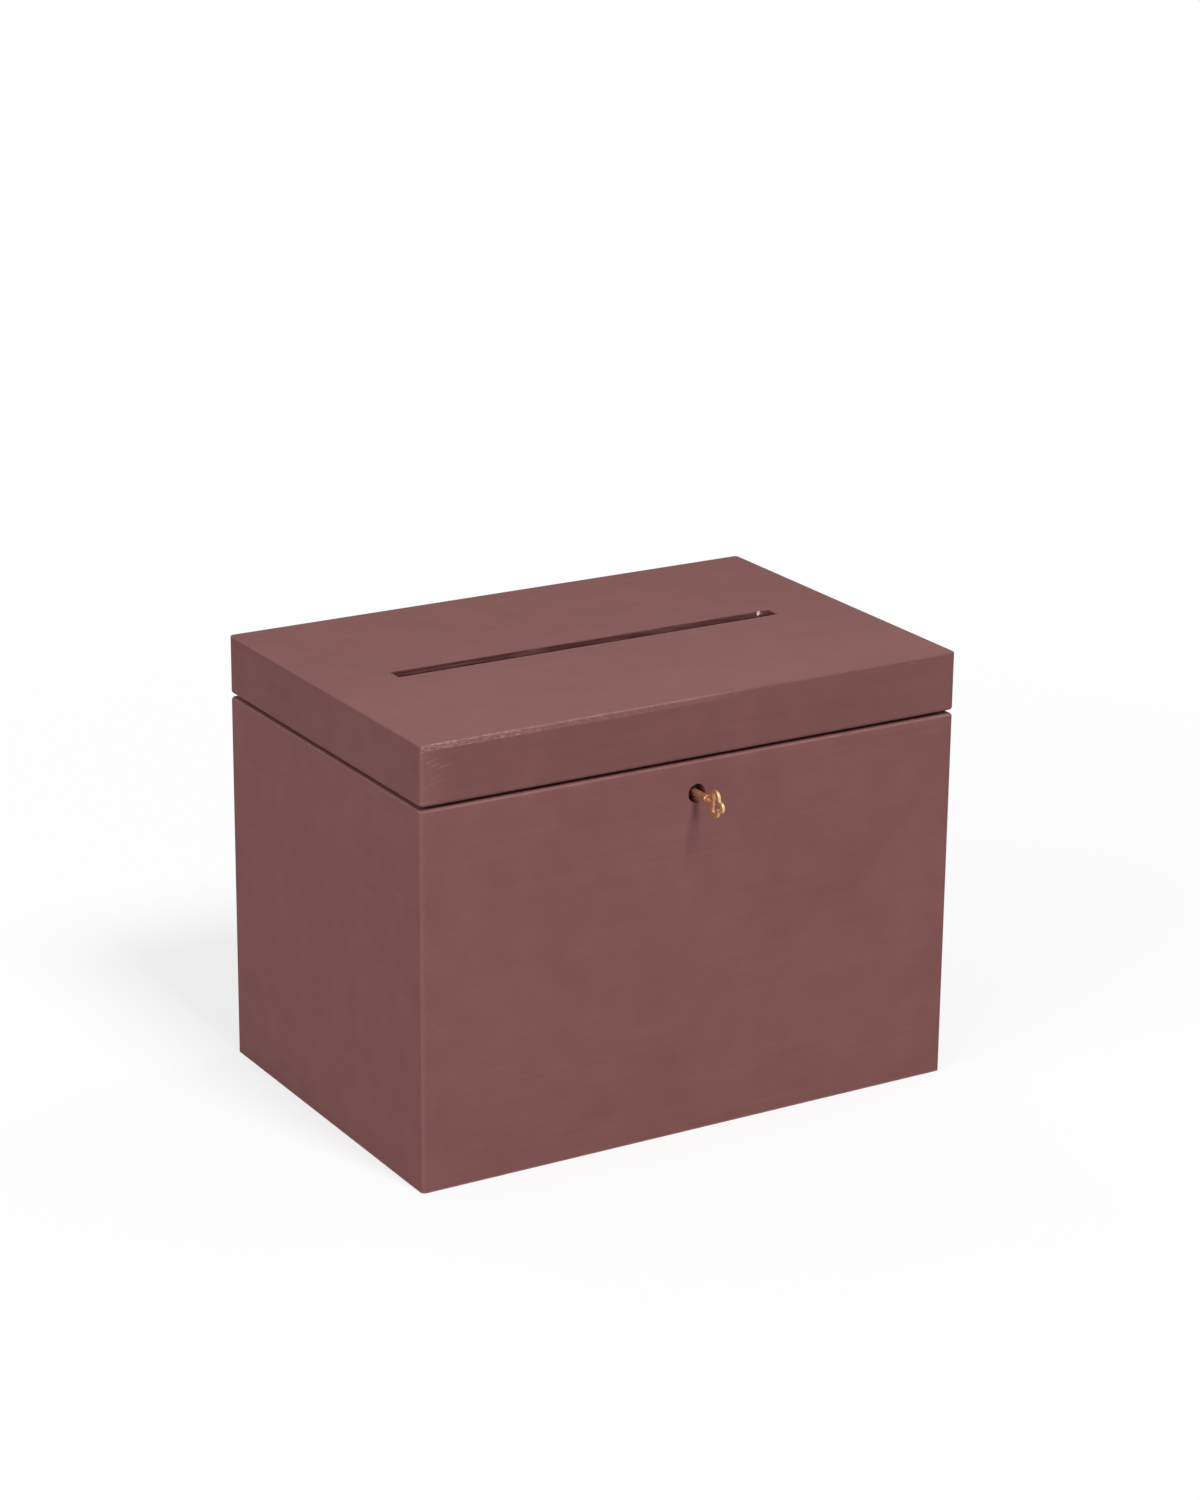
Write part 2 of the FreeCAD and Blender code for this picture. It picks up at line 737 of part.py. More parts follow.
def make_screws():
    along_x = FreeCAD.Vector(1, 0, 0)
    hinge_screw = make_screw(
        "hinge_screw", "sizes.hinge_screw_radius", "sizes.hinge_screw_head_radius",
        "sizes.hinge_screw_length",
    )
    lock_screw = make_screw(
        "lock_screw", "sizes.lock_screw_radius", "sizes.lock_screw_head_radius",
        "sizes.lock_screw_length",
    )
    hinge_places = [
        (f"{hinge_x(side)} {sign} sizes.hinge_screw_spacing / 2", "places.hinge_screw_y")
        for side in HINGE_SIDES for sign in ("-", "+")
    ]
    body_spots = [(across, back, "places.body_leaf_top") for across, back in hinge_places]
    lid_spots = [(across, back, "places.lid_leaf_bottom") for across, back in hinge_places]
    lock_spots = [(across, "places.plate_back", up) for across, up in lock_screw_places()]
    strike_spots = [(across, "places.strike_back", up) for across, up in strike_screw_places()]
    return [
        make_screw_group("hinge_body_screws", hinge_screw, body_spots, along_x, 0),
        make_screw_group("hinge_lid_screws", hinge_screw, lid_spots, along_x, 180),
        make_screw_group("lock_screws", lock_screw, lock_spots, along_x, -90),
        make_screw_group("strike_screws", lock_screw, strike_spots, along_x, -90),
    ]


def countersink_plate(body, holes, low, high):
    """Drill a plate and countersink it on its inward face."""
    prism(body, "Y", low, high, circles=holes, cut=True)
    level = value(high)
    hole_radius = value("sizes.lock_screw_radius + sizes.screw_clearance")
    head_width = "sizes.lock_screw_head_radius - sizes.lock_screw_radius"
    limited = f"min({head_width}; ({high} - {low}) * {ROUND_SHARE})"
    dress_edges(
        body, "Chamfer", "Size", limited,
        lambda edge: edge.Curve.TypeId == "Part::GeomCircle" and lies_at(edge, "Y", level)
        and near(edge.Curve.Radius, hole_radius),
    )


# Lock

def case_tabs(clearance):
    """Where the two side tabs of the case pass through the plate."""
    inner = f"sizes.case_width / 2 - sizes.case_sheet - {clearance}"
    outer = f"sizes.case_width / 2 + {clearance}"
    low = f"places.key_z - sizes.case_tab_width / 2 - {clearance}"
    high = f"places.key_z + sizes.case_tab_width / 2 + {clearance}"
    return [
        rectangle(f"-({outer})", f"-({inner})", low, high),
        rectangle(inner, outer, low, high),
    ]


def make_lock_plate():
    body = new_body("lock_plate")
    low, high = "places.plate_front", "places.plate_back"
    outline = rectangle(
        "-sizes.lock_plate_width / 2", "sizes.lock_plate_width / 2",
        "places.plate_bottom", "places.plate_top",
    )
    prism(body, "Y", low, high, polygons=[outline])
    shank_hole = (("0", "places.key_z"), "sizes.shank_radius + sizes.keyway_clearance")
    prism(body, "Y", low, high, circles=[shank_hole], cut=True)
    half_keyway = "sizes.bit_thickness / 2 + sizes.keyway_clearance"
    keyway = rectangle(
        f"-({half_keyway})", half_keyway,
        "places.key_z - sizes.bit_radius - sizes.keyway_clearance", "places.key_z",
    )
    prism(body, "Y", low, high, polygons=[keyway], cut=True)
    prism(body, "Y", low, high, polygons=case_tabs("sizes.mortise_clearance"), cut=True)
    countersink_plate(body, lock_screw_holes(), low, high)
    return body


def make_lock_case():
    body = new_body("lock_case")
    half_width = "sizes.case_width / 2"
    outside = rectangle(
        f"-{half_width}", half_width, "places.case_floor - sizes.case_sheet", "places.case_top",
    )
    prism(body, "Y", "places.plate_back", "places.case_back", polygons=[outside])
    hollow = rectangle(
        f"-{half_width} + sizes.case_sheet", f"{half_width} - sizes.case_sheet",
        "places.case_floor", "places.case_top - sizes.case_sheet",
    )
    prism(body, "Y", "places.plate_back", "places.case_inside", polygons=[hollow], cut=True)
    mouth = rectangle(
        "sizes.tongue_left - sizes.tongue_clearance", "places.tongue_right + sizes.tongue_clearance",
        "places.plate_back", "places.strike_back + sizes.tongue_clearance",
    )
    prism(body, "Z", "places.case_top - sizes.case_sheet", "places.case_top", polygons=[mouth], cut=True)
    bearing = (("0", "places.key_z"), "sizes.journal_radius + sizes.running_clearance")
    prism(body, "Y", "places.case_inside", "places.case_back", circles=[bearing], cut=True)
    prism(body, "Y", "places.plate_front", "places.plate_back", polygons=case_tabs("0"))
    return body


def make_turning_hook():
    body = new_body("turning_hook")
    axis = ("0", "places.key_z")
    prism(body, "Y", "places.hub_front", "places.hub_back", circles=[(axis, "sizes.hub_radius")])
    prism(body, "Y", "places.hub_back", "places.journal_back", circles=[(axis, "sizes.journal_radius")])
    spoke = rectangle(
        "-(sizes.hook_inner_radius + sizes.hook_outer_radius) / 2", "0",
        "places.key_z - sizes.spoke_width / 2", "places.key_z + sizes.spoke_width / 2",
    )
    prism(body, "Y", "places.inner_front", "places.strike_back", polygons=[spoke])
    hook = (
        axis, "sizes.hook_inner_radius", "sizes.hook_outer_radius",
        "sizes.hook_lead_angle", "sizes.hook_tail_angle",
    )
    prism(body, "Y", "places.inner_front", "places.strike_back", bands=[hook])
    shank_bore = (axis, "sizes.shank_radius + sizes.running_clearance")
    prism(body, "Y", "places.hub_front", "places.hub_bottom", circles=[shank_bore], cut=True)
    half_slot = "sizes.bit_thickness / 2 + sizes.keyway_clearance / 2"
    bit_slot = rectangle(
        f"-({half_slot})", half_slot,
        "places.key_z - sizes.bit_radius - sizes.keyway_clearance", "places.key_z",
    )
    prism(body, "Y", "places.hub_front", "places.hub_bottom", polygons=[bit_slot], cut=True)
    pin_seat = (axis, "sizes.drill_pin_radius + sizes.drill_pin_seat")
    prism(body, "Y", "places.hub_bottom", "places.journal_back", circles=[pin_seat], cut=True)
    return body


def make_drill_pin():
    body = new_body("drill_pin")
    pin = (("0", "places.key_z"), "sizes.drill_pin_radius")
    prism(body, "Y", "places.plate_front", "places.journal_back", circles=[pin])
    return body


def make_hook_spring():
    body = new_body("hook_spring")
    end = "sizes.spring_length / 2"
    foot = "(sizes.spring_length / 2 - sizes.spring_foot)"
    crown = "sizes.spring_crown / 2"
    floor = "places.case_floor"
    top = "places.key_z - sizes.hub_radius - sizes.spring_clearance"
    sheet = "sizes.spring_thickness"
    back = "places.case_inside - sizes.spring_clearance"
    prism(
        body, "Y", f"{back} - sizes.spring_width", back,
        polygons=[[
            (f"-{end}", floor), (f"-{foot}", floor), (f"-{crown}", f"{top} - {sheet}"),
            (crown, f"{top} - {sheet}"), (foot, floor), (end, floor),
            (end, f"{floor} + {sheet}"), (foot, f"{floor} + {sheet}"), (crown, top),
            (f"-{crown}", top), (f"-{foot}", f"{floor} + {sheet}"), (f"-{end}", f"{floor} + {sheet}"),
        ]],
    )
    return body


def make_strike_plate():
    body = new_body("strike_plate")
    low, high = "places.inner_front", "places.strike_back"
    left = "places.strike_x - sizes.strike_width / 2"
    right = "places.strike_x + sizes.strike_width / 2"
    foot = "places.key_z + sizes.tongue_foot"
    prism(body, "Y", low, high, polygons=[[
        (left, "places.strike_bottom"), ("sizes.tongue_left", "places.strike_bottom"),
        ("sizes.tongue_left", foot), ("places.tongue_right", foot),
        ("places.tongue_right", "places.strike_bottom"), (right, "places.strike_bottom"),
        (right, "places.strike_top"), (left, "places.strike_top"),
    ]])
    axis = ("0", "places.key_z")
    prism(body, "Y", low, high, circles=[(axis, "sizes.hub_radius + 2 * sizes.hook_clearance")], cut=True)
    notch = (
        axis, "sizes.hook_inner_radius - sizes.hook_clearance",
        "sizes.hook_outer_radius + sizes.hook_clearance",
        "sizes.hook_lead_angle - sizes.hook_turn - sizes.hook_end_angle", "sizes.hook_lead_angle",
    )
    prism(body, "Y", low, high, bands=[notch], cut=True)
    countersink_plate(body, strike_screw_holes(), low, high)
    return body


# Key

def bow_circles(side_y, side_spread, end_y, kind):
    """Circles of the bow's two side lobes, its middle and its end lobe, or of the holes in them."""
    key_z = "places.key_z"
    return [
        ((side_y, f"{key_z} + {side_spread}"), f"sizes.bow_side_{kind}"),
        ((side_y, f"{key_z} - {side_spread}"), f"sizes.bow_side_{kind}"),
        (("places.bow_middle_y", key_z), f"sizes.bow_middle_{kind}"),
        ((end_y, key_z), f"sizes.bow_end_{kind}"),
    ]


def round_bow(body, lobes):
    """Round the outline of the bow on both of its faces."""
    half_thickness = value("sizes.bow_thickness / 2")
    lobe_radii = [value(radius) for centre, radius in lobes]
    dress_edges(
        body, "Fillet", "Radius", "sizes.bow_edge_round",
        lambda edge: edge.Curve.TypeId == "Part::GeomCircle"
        and near(abs(edge.CenterOfMass.x), half_thickness)
        and any(near(edge.Curve.Radius, radius) for radius in lobe_radii),
    )


def make_key():
    body = new_body("key")
    axis = ("0", "places.key_z")
    prism(body, "Y", "places.bow_neck_y", "places.key_tip", circles=[(axis, "sizes.shank_radius")])
    prism(
        body, "Y", "places.collar_front", "places.collar_front + sizes.collar_length",
        circles=[(axis, "sizes.collar_radius")],
    )
    bit = rectangle(
        "-sizes.bit_thickness / 2", "sizes.bit_thickness / 2",
        "places.key_z - sizes.bit_radius", "places.key_z",
    )
    # The bit turns between the lock plate and the floor of the hub
    prism(body, "Y", "places.plate_back + sizes.bit_clearance", "places.key_tip", polygons=[bit])
    left, right = "-sizes.bow_thickness / 2", "sizes.bow_thickness / 2"
    lobes = bow_circles("places.side_lobe_y", "sizes.bow_side_spread", "places.end_lobe_y", "radius")
    holes = bow_circles("places.side_hole_y", "sizes.bow_side_hole_spread", "places.end_hole_y", "hole_radius")
    for lobe in lobes:
        prism(body, "X", left, right, circles=[lobe])
    for hole in holes:
        prism(body, "X", left, right, circles=[hole], cut=True)
    round_bow(body, lobes)
    bore = (axis, "sizes.drill_pin_radius + sizes.running_clearance")
    bore_end = "places.plate_front - sizes.key_end_clearance"
    prism(body, "Y", bore_end, "places.key_tip", circles=[bore], cut=True)
    return body


nodes = [
    make_front_wall(),
    make_rear_wall(),
    make_side_wall("left_wall", "-1"),
    make_side_wall("right_wall", "1"),
    make_base_panel(),
    make_lid_front_rail(),
    make_lid_rear_rail(),
    make_lid_side_rail("lid_left_rail", "-1"),
    make_lid_side_rail("lid_right_rail", "1"),
    make_lid_top_panel(),
    make_lock_plate(),
    make_lock_case(),
    make_turning_hook(),
    make_drill_pin(),
    make_hook_spring(),
    make_strike_plate(),
    make_key(),
]
for hinge_side in HINGE_SIDES:
    nodes += [make_body_leaf(hinge_side), make_lid_leaf(hinge_side), make_hinge_pin(hinge_side)]
nodes += make_screws()
doc.recompute()

for item in doc.Objects:
    if "Invalid" in item.State or "Error" in item.State:
        raise RuntimeError(f"{item.Label} failed: {item.State}")
for node in nodes:
    if node.Shape.isNull() or not node.Shape.isValid():
        raise RuntimeError(f"{node.Label} has no valid shape")

os.makedirs("parts", exist_ok=True)
for node in nodes:
    node.Shape.exportStep(f"parts/{node.Label}.step")
    print(f"{node.Label}: {len(node.Shape.Solids)} solid, {node.Shape.Volume:.1f} mm3")
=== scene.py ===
"""Envelope box in painted wood: a letter slot in the hinged lid, a small coppery key in the front."""

import json
import math

import bmesh
import bpy
from mathutils import Matrix, Vector, noise


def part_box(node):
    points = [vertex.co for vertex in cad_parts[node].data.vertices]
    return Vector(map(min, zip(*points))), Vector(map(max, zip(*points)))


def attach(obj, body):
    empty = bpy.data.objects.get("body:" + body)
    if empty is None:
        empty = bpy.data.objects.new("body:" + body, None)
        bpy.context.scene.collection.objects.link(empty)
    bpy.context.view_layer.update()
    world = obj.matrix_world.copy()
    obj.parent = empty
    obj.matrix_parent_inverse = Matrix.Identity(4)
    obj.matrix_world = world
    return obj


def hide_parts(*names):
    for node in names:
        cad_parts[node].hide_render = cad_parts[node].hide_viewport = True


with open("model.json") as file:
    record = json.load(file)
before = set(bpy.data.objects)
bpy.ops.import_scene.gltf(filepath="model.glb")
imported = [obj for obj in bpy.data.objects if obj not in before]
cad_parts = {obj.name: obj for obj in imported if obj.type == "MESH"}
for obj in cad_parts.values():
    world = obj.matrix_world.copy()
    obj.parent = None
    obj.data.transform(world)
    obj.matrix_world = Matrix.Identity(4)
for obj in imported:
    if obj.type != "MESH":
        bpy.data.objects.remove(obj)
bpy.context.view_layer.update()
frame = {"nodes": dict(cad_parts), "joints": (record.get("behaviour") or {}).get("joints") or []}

nodes = frame["nodes"]
MM = 0.001
QUARTER_TURN = math.pi / 2
FULL_TURN = 2 * math.pi

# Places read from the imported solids

BOARD_LOW, BOARD_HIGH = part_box("lid_top_panel")
BOARD_THICKNESS = BOARD_HIGH.z - BOARD_LOW.z
HALF_LENGTH = BOARD_HIGH.x
HALF_DEPTH = BOARD_HIGH.y
LID_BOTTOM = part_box("lid_left_rail")[0].z
BODY_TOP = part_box("rear_wall")[1].z
KEY_AXIS_Z = next(joint for joint in frame["joints"] if joint["name"] == "key_turn")["pos_m"][2]

# Places that a piece's shape and its finish share

SLOT_HALF = 109 * MM
SLOT_NEAR = -2.5 * MM
SLOT_FAR = 6.5 * MM
SLOT_MIDDLE = (SLOT_NEAR + SLOT_FAR) / 2
SLOT_HALF_WIDTH = (SLOT_FAR - SLOT_NEAR) / 2
FLAKE_PLACE = Vector((103.4 * MM, SLOT_FAR, BOARD_HIGH.z - 1.1 * MM))
BOW_MIDDLE_Y = -117.9 * MM


def srgb(red, green, blue):
    """A paint colour given in screen values from 0 to 255."""
    def linear(value):
        share = value / 255
        return share / 12.92 if share <= 0.04045 else ((share + 0.055) / 1.055) ** 2.4
    return (linear(red), linear(green), linear(blue), 1.0)


# Shader maths

NOISE_MIDDLE = 0.5


class Shade:
    """One output of a node, so that shader maths reads as plain sums."""

    def __init__(self, finish, socket):
        self.finish = finish
        self.socket = socket

    def output(self, key):
        return Shade(self.finish, self.socket.node.outputs[key])

    def maths(self, operation, *values):
        return self.finish.node("ShaderNodeMath", {"operation": operation}, dict(enumerate(values)))

    def __add__(self, other):
        return self.maths("ADD", self, other)

    def __sub__(self, other):
        return self.maths("SUBTRACT", self, other)

    def __rsub__(self, other):
        return self.maths("SUBTRACT", other, self)

    def __mul__(self, other):
        return self.maths("MULTIPLY", self, other)

    def __abs__(self):
        return self.maths("ABSOLUTE", self)

    def lesser(self, other):
        return self.maths("MINIMUM", self, other)

    def greater(self, other):
        return self.maths("MAXIMUM", self, other)

    def stray(self, amount):
        """How far a noise strays from its middle, times an amount."""
        return (self - NOISE_MIDDLE) * amount

    __radd__ = __add__
    __rmul__ = __mul__


class Finish:
    """A node tree that holds one finish."""

    def __init__(self, tree):
        self.tree = tree
        tree.nodes.clear()

    def node(self, kind, settings, sockets):
        made = self.tree.nodes.new(kind)
        for key, value in settings.items():
            setattr(made, key, value)
        for key, value in sockets.items():
            if isinstance(value, Shade):
                self.tree.links.new(value.socket, made.inputs[key])
            else:
                made.inputs[key].default_value = value
        return Shade(self, made.outputs[0]) if made.outputs else None

    def place(self):
        """Where a point is on the box, in metres."""
        return self.node("ShaderNodeTexCoord", {}, {}).output("Object")

    def parts(self, place):
        split = self.node("ShaderNodeSeparateXYZ", {}, {0: place})
        return [split.output(axis) for axis in "XYZ"]

    def speckle(self, vector, detail):
        return self.node("ShaderNodeTexNoise", {}, {"Vector": vector, "Scale": 1.0, "Detail": detail})

    def noise(self, place, per_metre, detail):
        """Noise with so many marks to the metre along each axis."""
        stretch = {0: place, 1: per_metre}
        return self.speckle(self.node("ShaderNodeVectorMath", {"operation": "MULTIPLY"}, stretch), detail)

    def fade(self, value, start, end):
        """0 at start, 1 at end, with a soft ramp between."""
        return self.node(
            "ShaderNodeMapRange", {"interpolation_type": "SMOOTHSTEP"},
            {"Value": value, "From Min": start, "From Max": end},
        )

    def near_left(self, x, start, end):
        """Fade between two distances from the box's left side."""
        return self.fade(x, -HALF_LENGTH + start, -HALF_LENGTH + end)

    def near_front(self, y, start, end):
        """Fade between two distances from the box's front."""
        return self.fade(y, -HALF_DEPTH + start, -HALF_DEPTH + end)

    def mix(self, share, first, second):
        return self.node("ShaderNodeMix", {"data_type": "RGBA"}, {0: share, 6: first, 7: second}).output(2)

    def bump(self, height, depth):
        return self.node("ShaderNodeBump", {}, {"Strength": 1.0, "Distance": depth, "Height": height})

    def surface(self, sockets):
        shader = self.node("ShaderNodeBsdfPrincipled", {}, sockets)
        self.node("ShaderNodeOutputMaterial", {}, {"Surface": shader})


def new_finish(name):
    material = bpy.data.materials.new(name)
    material.use_nodes = True
    return material, Finish(material.node_tree)


# Painted wood

MAUVE = (srgb(121, 81, 79), srgb(129, 88, 86))
LID_MAUVE = (srgb(116, 78, 76), srgb(124, 85, 82))
# Paler paint for worn edges and end grain, also used as a painted sheen towards the top board's front
WORN_EDGE_AND_SHEEN = srgb(142, 102, 100)
# Paler edges: rubbed wear and a painted highlight on the rounded edges
RUBBED_EDGE_AND_HIGHLIGHT = srgb(156, 117, 114)
PALE_PRIMER = srgb(176, 138, 133)
# Near-white spot at the chip in the slot's far wall
NEAR_WHITE_FLAKE = srgb(236, 212, 207)
SLOT_SHADE = (srgb(82, 50, 48), srgb(112, 74, 71))

SIDE_SHEEN = 0.01
TOP_SHEEN = 0.014
PAINT_ROUGHNESS = 0.56
CLOUD_ROUGHNESS = 0.12
STREAK_ROUGHNESS = 0.08
PAINT_RELIEF = 0.03 * MM
STREAK_RELIEF = 0.5
STIPPLE_RELIEF = 0.25

# How much fine detail a noise holds
PLAIN = 1.0
BROKEN = 2.0
FINE = 3.0
FINEST = 4.0

# Marks to the metre along each axis
GRAIN_ALONG = (9, 420, 420)
GRAIN_ACROSS = (420, 9, 420)
CLOUDS = (14, 14, 14)
MOTTLES = (60, 60, 60)
STIPPLES = (2600, 2600, 2600)
RUBS = (160, 160, 160)

MIDDLE_TONE = 0.5
CLOUD_TONE = 1.3
MOTTLE_TONE = 1.4
STREAK_TONE = 1.0
STIPPLE_TONE = 0.25

EDGE_FADE = (0.9 * MM, 0.55 * MM)
EDGE_SHARE = 0.28
RUB_FADE = (0.35, 0.7)
RUB_SHARE = 0.38


def painted_wood(name, shades, grain, edge_heights, sheen, marks=None):
    """Low-sheen paint over wood whose grain runs one way, paler along the edges at some heights, as rubbed
    wear mixed with a painted highlight.
    """
    material, paint = new_finish(name)
    place = paint.place()
    x, y, z = paint.parts(place)
    cloud = paint.noise(place, CLOUDS, FINE)
    streak = paint.noise(place, grain, FINE)
    mottle = paint.noise(place, MOTTLES, FINEST)
    stipple = paint.noise(place, STIPPLES, PLAIN)
    tone = MIDDLE_TONE + cloud.stray(CLOUD_TONE) + mottle.stray(MOTTLE_TONE)
    tone = tone + streak.stray(STREAK_TONE) + stipple.stray(STIPPLE_TONE)
    colour = paint.mix(tone, *shades)
    from_side = HALF_LENGTH - abs(x)
    from_face = HALF_DEPTH - abs(y)
    from_height = abs(z - edge_heights[0])
    for edge_height in edge_heights[1:]:
        from_height = from_height.lesser(abs(z - edge_height))
    nearer = from_side.lesser(from_face)
    farther = from_side.greater(from_face)
    to_edge = nearer.greater(farther.lesser(from_height))
    # Edges painted paler: partly rubbed wear, partly a painted highlight where the rounded edges catch the
    # light
    rubbed = paint.fade(paint.noise(place, RUBS, FINE), *RUB_FADE)
    edge = paint.fade(to_edge, *EDGE_FADE) * (EDGE_SHARE + rubbed * RUB_SHARE)
    colour = paint.mix(edge, colour, RUBBED_EDGE_AND_HIGHLIGHT)
    height = streak * STREAK_RELIEF + stipple * STIPPLE_RELIEF
    if marks:
        colour, height = marks(paint, place, colour, height)
    paint.surface({
        "Base Color": colour,
        "Roughness": PAINT_ROUGHNESS + cloud.stray(CLOUD_ROUGHNESS) + streak.stray(STREAK_ROUGHNESS),
        "Specular IOR Level": sheen,
        "Normal": paint.bump(height, PAINT_RELIEF),
    })
    return material


# Marks on the top board

PAINTED_SHEEN_SHARE = 0.33
LEFT_RIM = (1.2 * MM, 0.4 * MM)
FRONT_RIM = (1.2 * MM, 0.7 * MM)
# Where the board's rim gets painted shade: the front from the middle rightwards, and its share
SHADED_RIM_FROM = (0.0, 30 * MM)
SHADED_RIM_SHARE = 0.7
BOARD_FRONT = (1.0 * MM, 0.5 * MM)
PLY_FIBRES = (360, 0, 2500)
PLY_PATCHES = (70, 0, 0)
ROUGH_PLY_ENDS = 50 * MM
FIBRE_RELIEF = 2.0
DASHES_AT_LEFT = 0.16
DASH_PATCHINESS = 0.25
DASH_FADE = (0.62, 0.76)
DASH_SHARE = 0.36
DASH_SHARE_AT_LEFT = 0.2
SLOT_WALL = (1.0 * MM, 0.3 * MM)
SLOT_RIM = (0.15 * MM, 0.5 * MM)
SLOT_LAYERS = (60, 60, 1500)
LAYER_FADE = (0.35, 0.65)
LAYER_RELIEF = 3.0
FLAKE_RAGS = (1100, 1100, 1100)
FLAKE_RAGGEDNESS = 2.4 * MM
FLAKE_FADE = (1.3 * MM, 1.0 * MM)


def board_marks(paint, place, colour, height):
    """Painted sheen paler towards the front, painted shade on the rim at the left and front right, rough
    ply along the front edge, worst at the left, painted shade on the slot's walls and a pale flake there.
    """
    x, y, z = paint.parts(place)
    # Painted sheen: the board is coloured paler towards its front, where the light makes it look brighter
    painted_sheen_to_front = paint.fade(y, HALF_DEPTH, -HALF_DEPTH)
    colour = paint.mix(painted_sheen_to_front * PAINTED_SHEEN_SHARE, colour, WORN_EDGE_AND_SHEEN)
    # Painted shade: the rounded rim at the left and the front right goes back to the darker lid paint,
    # which cancels its rubbed paleness and dims the light it catches
    unrubbed_shaded_front = paint.near_front(y, *FRONT_RIM) * paint.fade(x, *SHADED_RIM_FROM)
    unrubbed_shaded_rim = paint.near_left(x, *LEFT_RIM).greater(unrubbed_shaded_front)
    colour = paint.mix(unrubbed_shaded_rim * SHADED_RIM_SHARE, colour, LID_MAUVE[0])
    on_front = paint.near_front(y, *BOARD_FRONT)
    fibre = paint.noise(place, PLY_FIBRES, BROKEN)
    patch = paint.noise(place, PLY_PATCHES, PLAIN)
    worst = paint.fade(x, ROUGH_PLY_ENDS, -HALF_LENGTH)
    bared = fibre + worst * DASHES_AT_LEFT + patch.stray(DASH_PATCHINESS)
    dashes = paint.fade(bared, *DASH_FADE) * on_front
    colour = paint.mix(dashes * (DASH_SHARE + worst * DASH_SHARE_AT_LEFT), colour, PALE_PRIMER)
    # Painted shade inside the slot: its walls are coloured dark brown, streaked with ply layers
    along_slot = paint.fade(abs(x), *(SLOT_HALF + away for away in SLOT_WALL))
    across_slot = paint.fade(abs(y - SLOT_MIDDLE), *(SLOT_HALF_WIDTH + away for away in SLOT_WALL))
    below = paint.fade(z, *(BOARD_HIGH.z - down for down in SLOT_RIM))
    in_slot = along_slot * across_slot * below
    layers = paint.noise(place, SLOT_LAYERS, FINE)
    shaded_slot_wall = paint.mix(paint.fade(layers, *LAYER_FADE), *SLOT_SHADE)
    colour = paint.mix(in_slot, colour, shaded_slot_wall)
    to_flake = {0: place, 1: tuple(FLAKE_PLACE)}
    from_flake = paint.node("ShaderNodeVectorMath", {"operation": "DISTANCE"}, to_flake).output("Value")
    ragged = paint.noise(place, FLAKE_RAGS, BROKEN).stray(FLAKE_RAGGEDNESS)
    colour = paint.mix(paint.fade(from_flake + ragged, *FLAKE_FADE), colour, NEAR_WHITE_FLAKE)
    height = height + fibre * on_front * FIBRE_RELIEF + layers * in_slot * LAYER_RELIEF
    return colour, height


# Marks on the lid's rails

RAIL_FRONT = (1.0 * MM, 0.4 * MM)
STROKE_SLOPE = 0.25
STROKES_ALONG = 80
STROKES_ACROSS = 800
STROKE_FADE = (0.5, 0.8)
STROKE_RELIEF = 2.0
STROKE_PATCHES = (150, 0, 110)
PATCH_FADE = (0.38, 0.6)
STROKE_REACH = (22 * MM, 5 * MM)
STROKE_SHARE = 0.36
CORNER_REACH = (17 * MM, 2 * MM)
CORNER_SHARE = 0.25


def end_grain(paint, place, colour, height):
    """Pale strokes that rise to the right, round the rail's end on the left of the lid's front."""
    x, y, z = paint.parts(place)
    on_front = paint.near_front(y, *RAIL_FRONT)
    across = (z - x * STROKE_SLOPE) * STROKES_ACROSS
    along = (x + z * STROKE_SLOPE) * STROKES_ALONG
    grain = paint.node("ShaderNodeCombineXYZ", {}, {0: along, 1: across, 2: 0.0})
    strokes = paint.fade(paint.speckle(grain, BROKEN), *STROKE_FADE)
    patch = paint.fade(paint.noise(place, STROKE_PATCHES, PLAIN), *PATCH_FADE)
    worn = paint.near_left(x, *CORNER_REACH) * on_front
    colour = paint.mix(worn * CORNER_SHARE, colour, WORN_EDGE_AND_SHEEN)
    scratch = strokes * patch * on_front * paint.near_left(x, *STROKE_REACH)
    colour = paint.mix(scratch * STROKE_SHARE, colour, PALE_PRIMER)
    return colour, height - scratch * STROKE_RELIEF


# Metals

BRIGHT_ZINC = (srgb(140, 141, 144), srgb(190, 191, 193))
# Darker zinc for the lock plate: painted shade for its place deep in the keyhole
SHADED_ZINC = (srgb(66, 66, 68), srgb(112, 113, 115))
POLISHED_BRASS = (srgb(226, 186, 112), srgb(188, 142, 76))
WORN_COPPER = (srgb(218, 158, 118), srgb(190, 128, 92))
# Pale gold for the bow's end: worn brass and a painted highlight together
HANDLED_GOLD_AND_HIGHLIGHT = srgb(228, 190, 138)

ROLLED_LINES = (30, 30, 1500)
TURNED_LINES = (900, 120, 900)
ZINC_BLOOMS = (260, 260, 260)
DRAWN_LINES = (40, 1800, 1800)
BRASS_CLOUDS = (320, 320, 320)
COPPER_CLOUDS = (700, 700, 700)
SHANK_RINGS = (0, 4200, 0)
GOLD_AND_HIGHLIGHT_FADE = (BOW_MIDDLE_Y + 1.5 * MM, BOW_MIDDLE_Y - 2.5 * MM)
GOLD_AND_HIGHLIGHT_SHARE = 0.7

ZINC_LINES_SHARE = 0.6
ZINC_BLOOM_SHARE = 0.4
ZINC_ROUGHNESS = 0.28
BLOOM_ROUGHNESS = 0.16
LINE_ROUGHNESS = 0.08
STEEL_RELIEF = 0.008 * MM

BRASS_ROUGHNESS = 0.2
BRASS_DULLNESS = 0.16
DRAWN_ROUGHNESS = 0.06
BRASS_RELIEF = 0.006 * MM

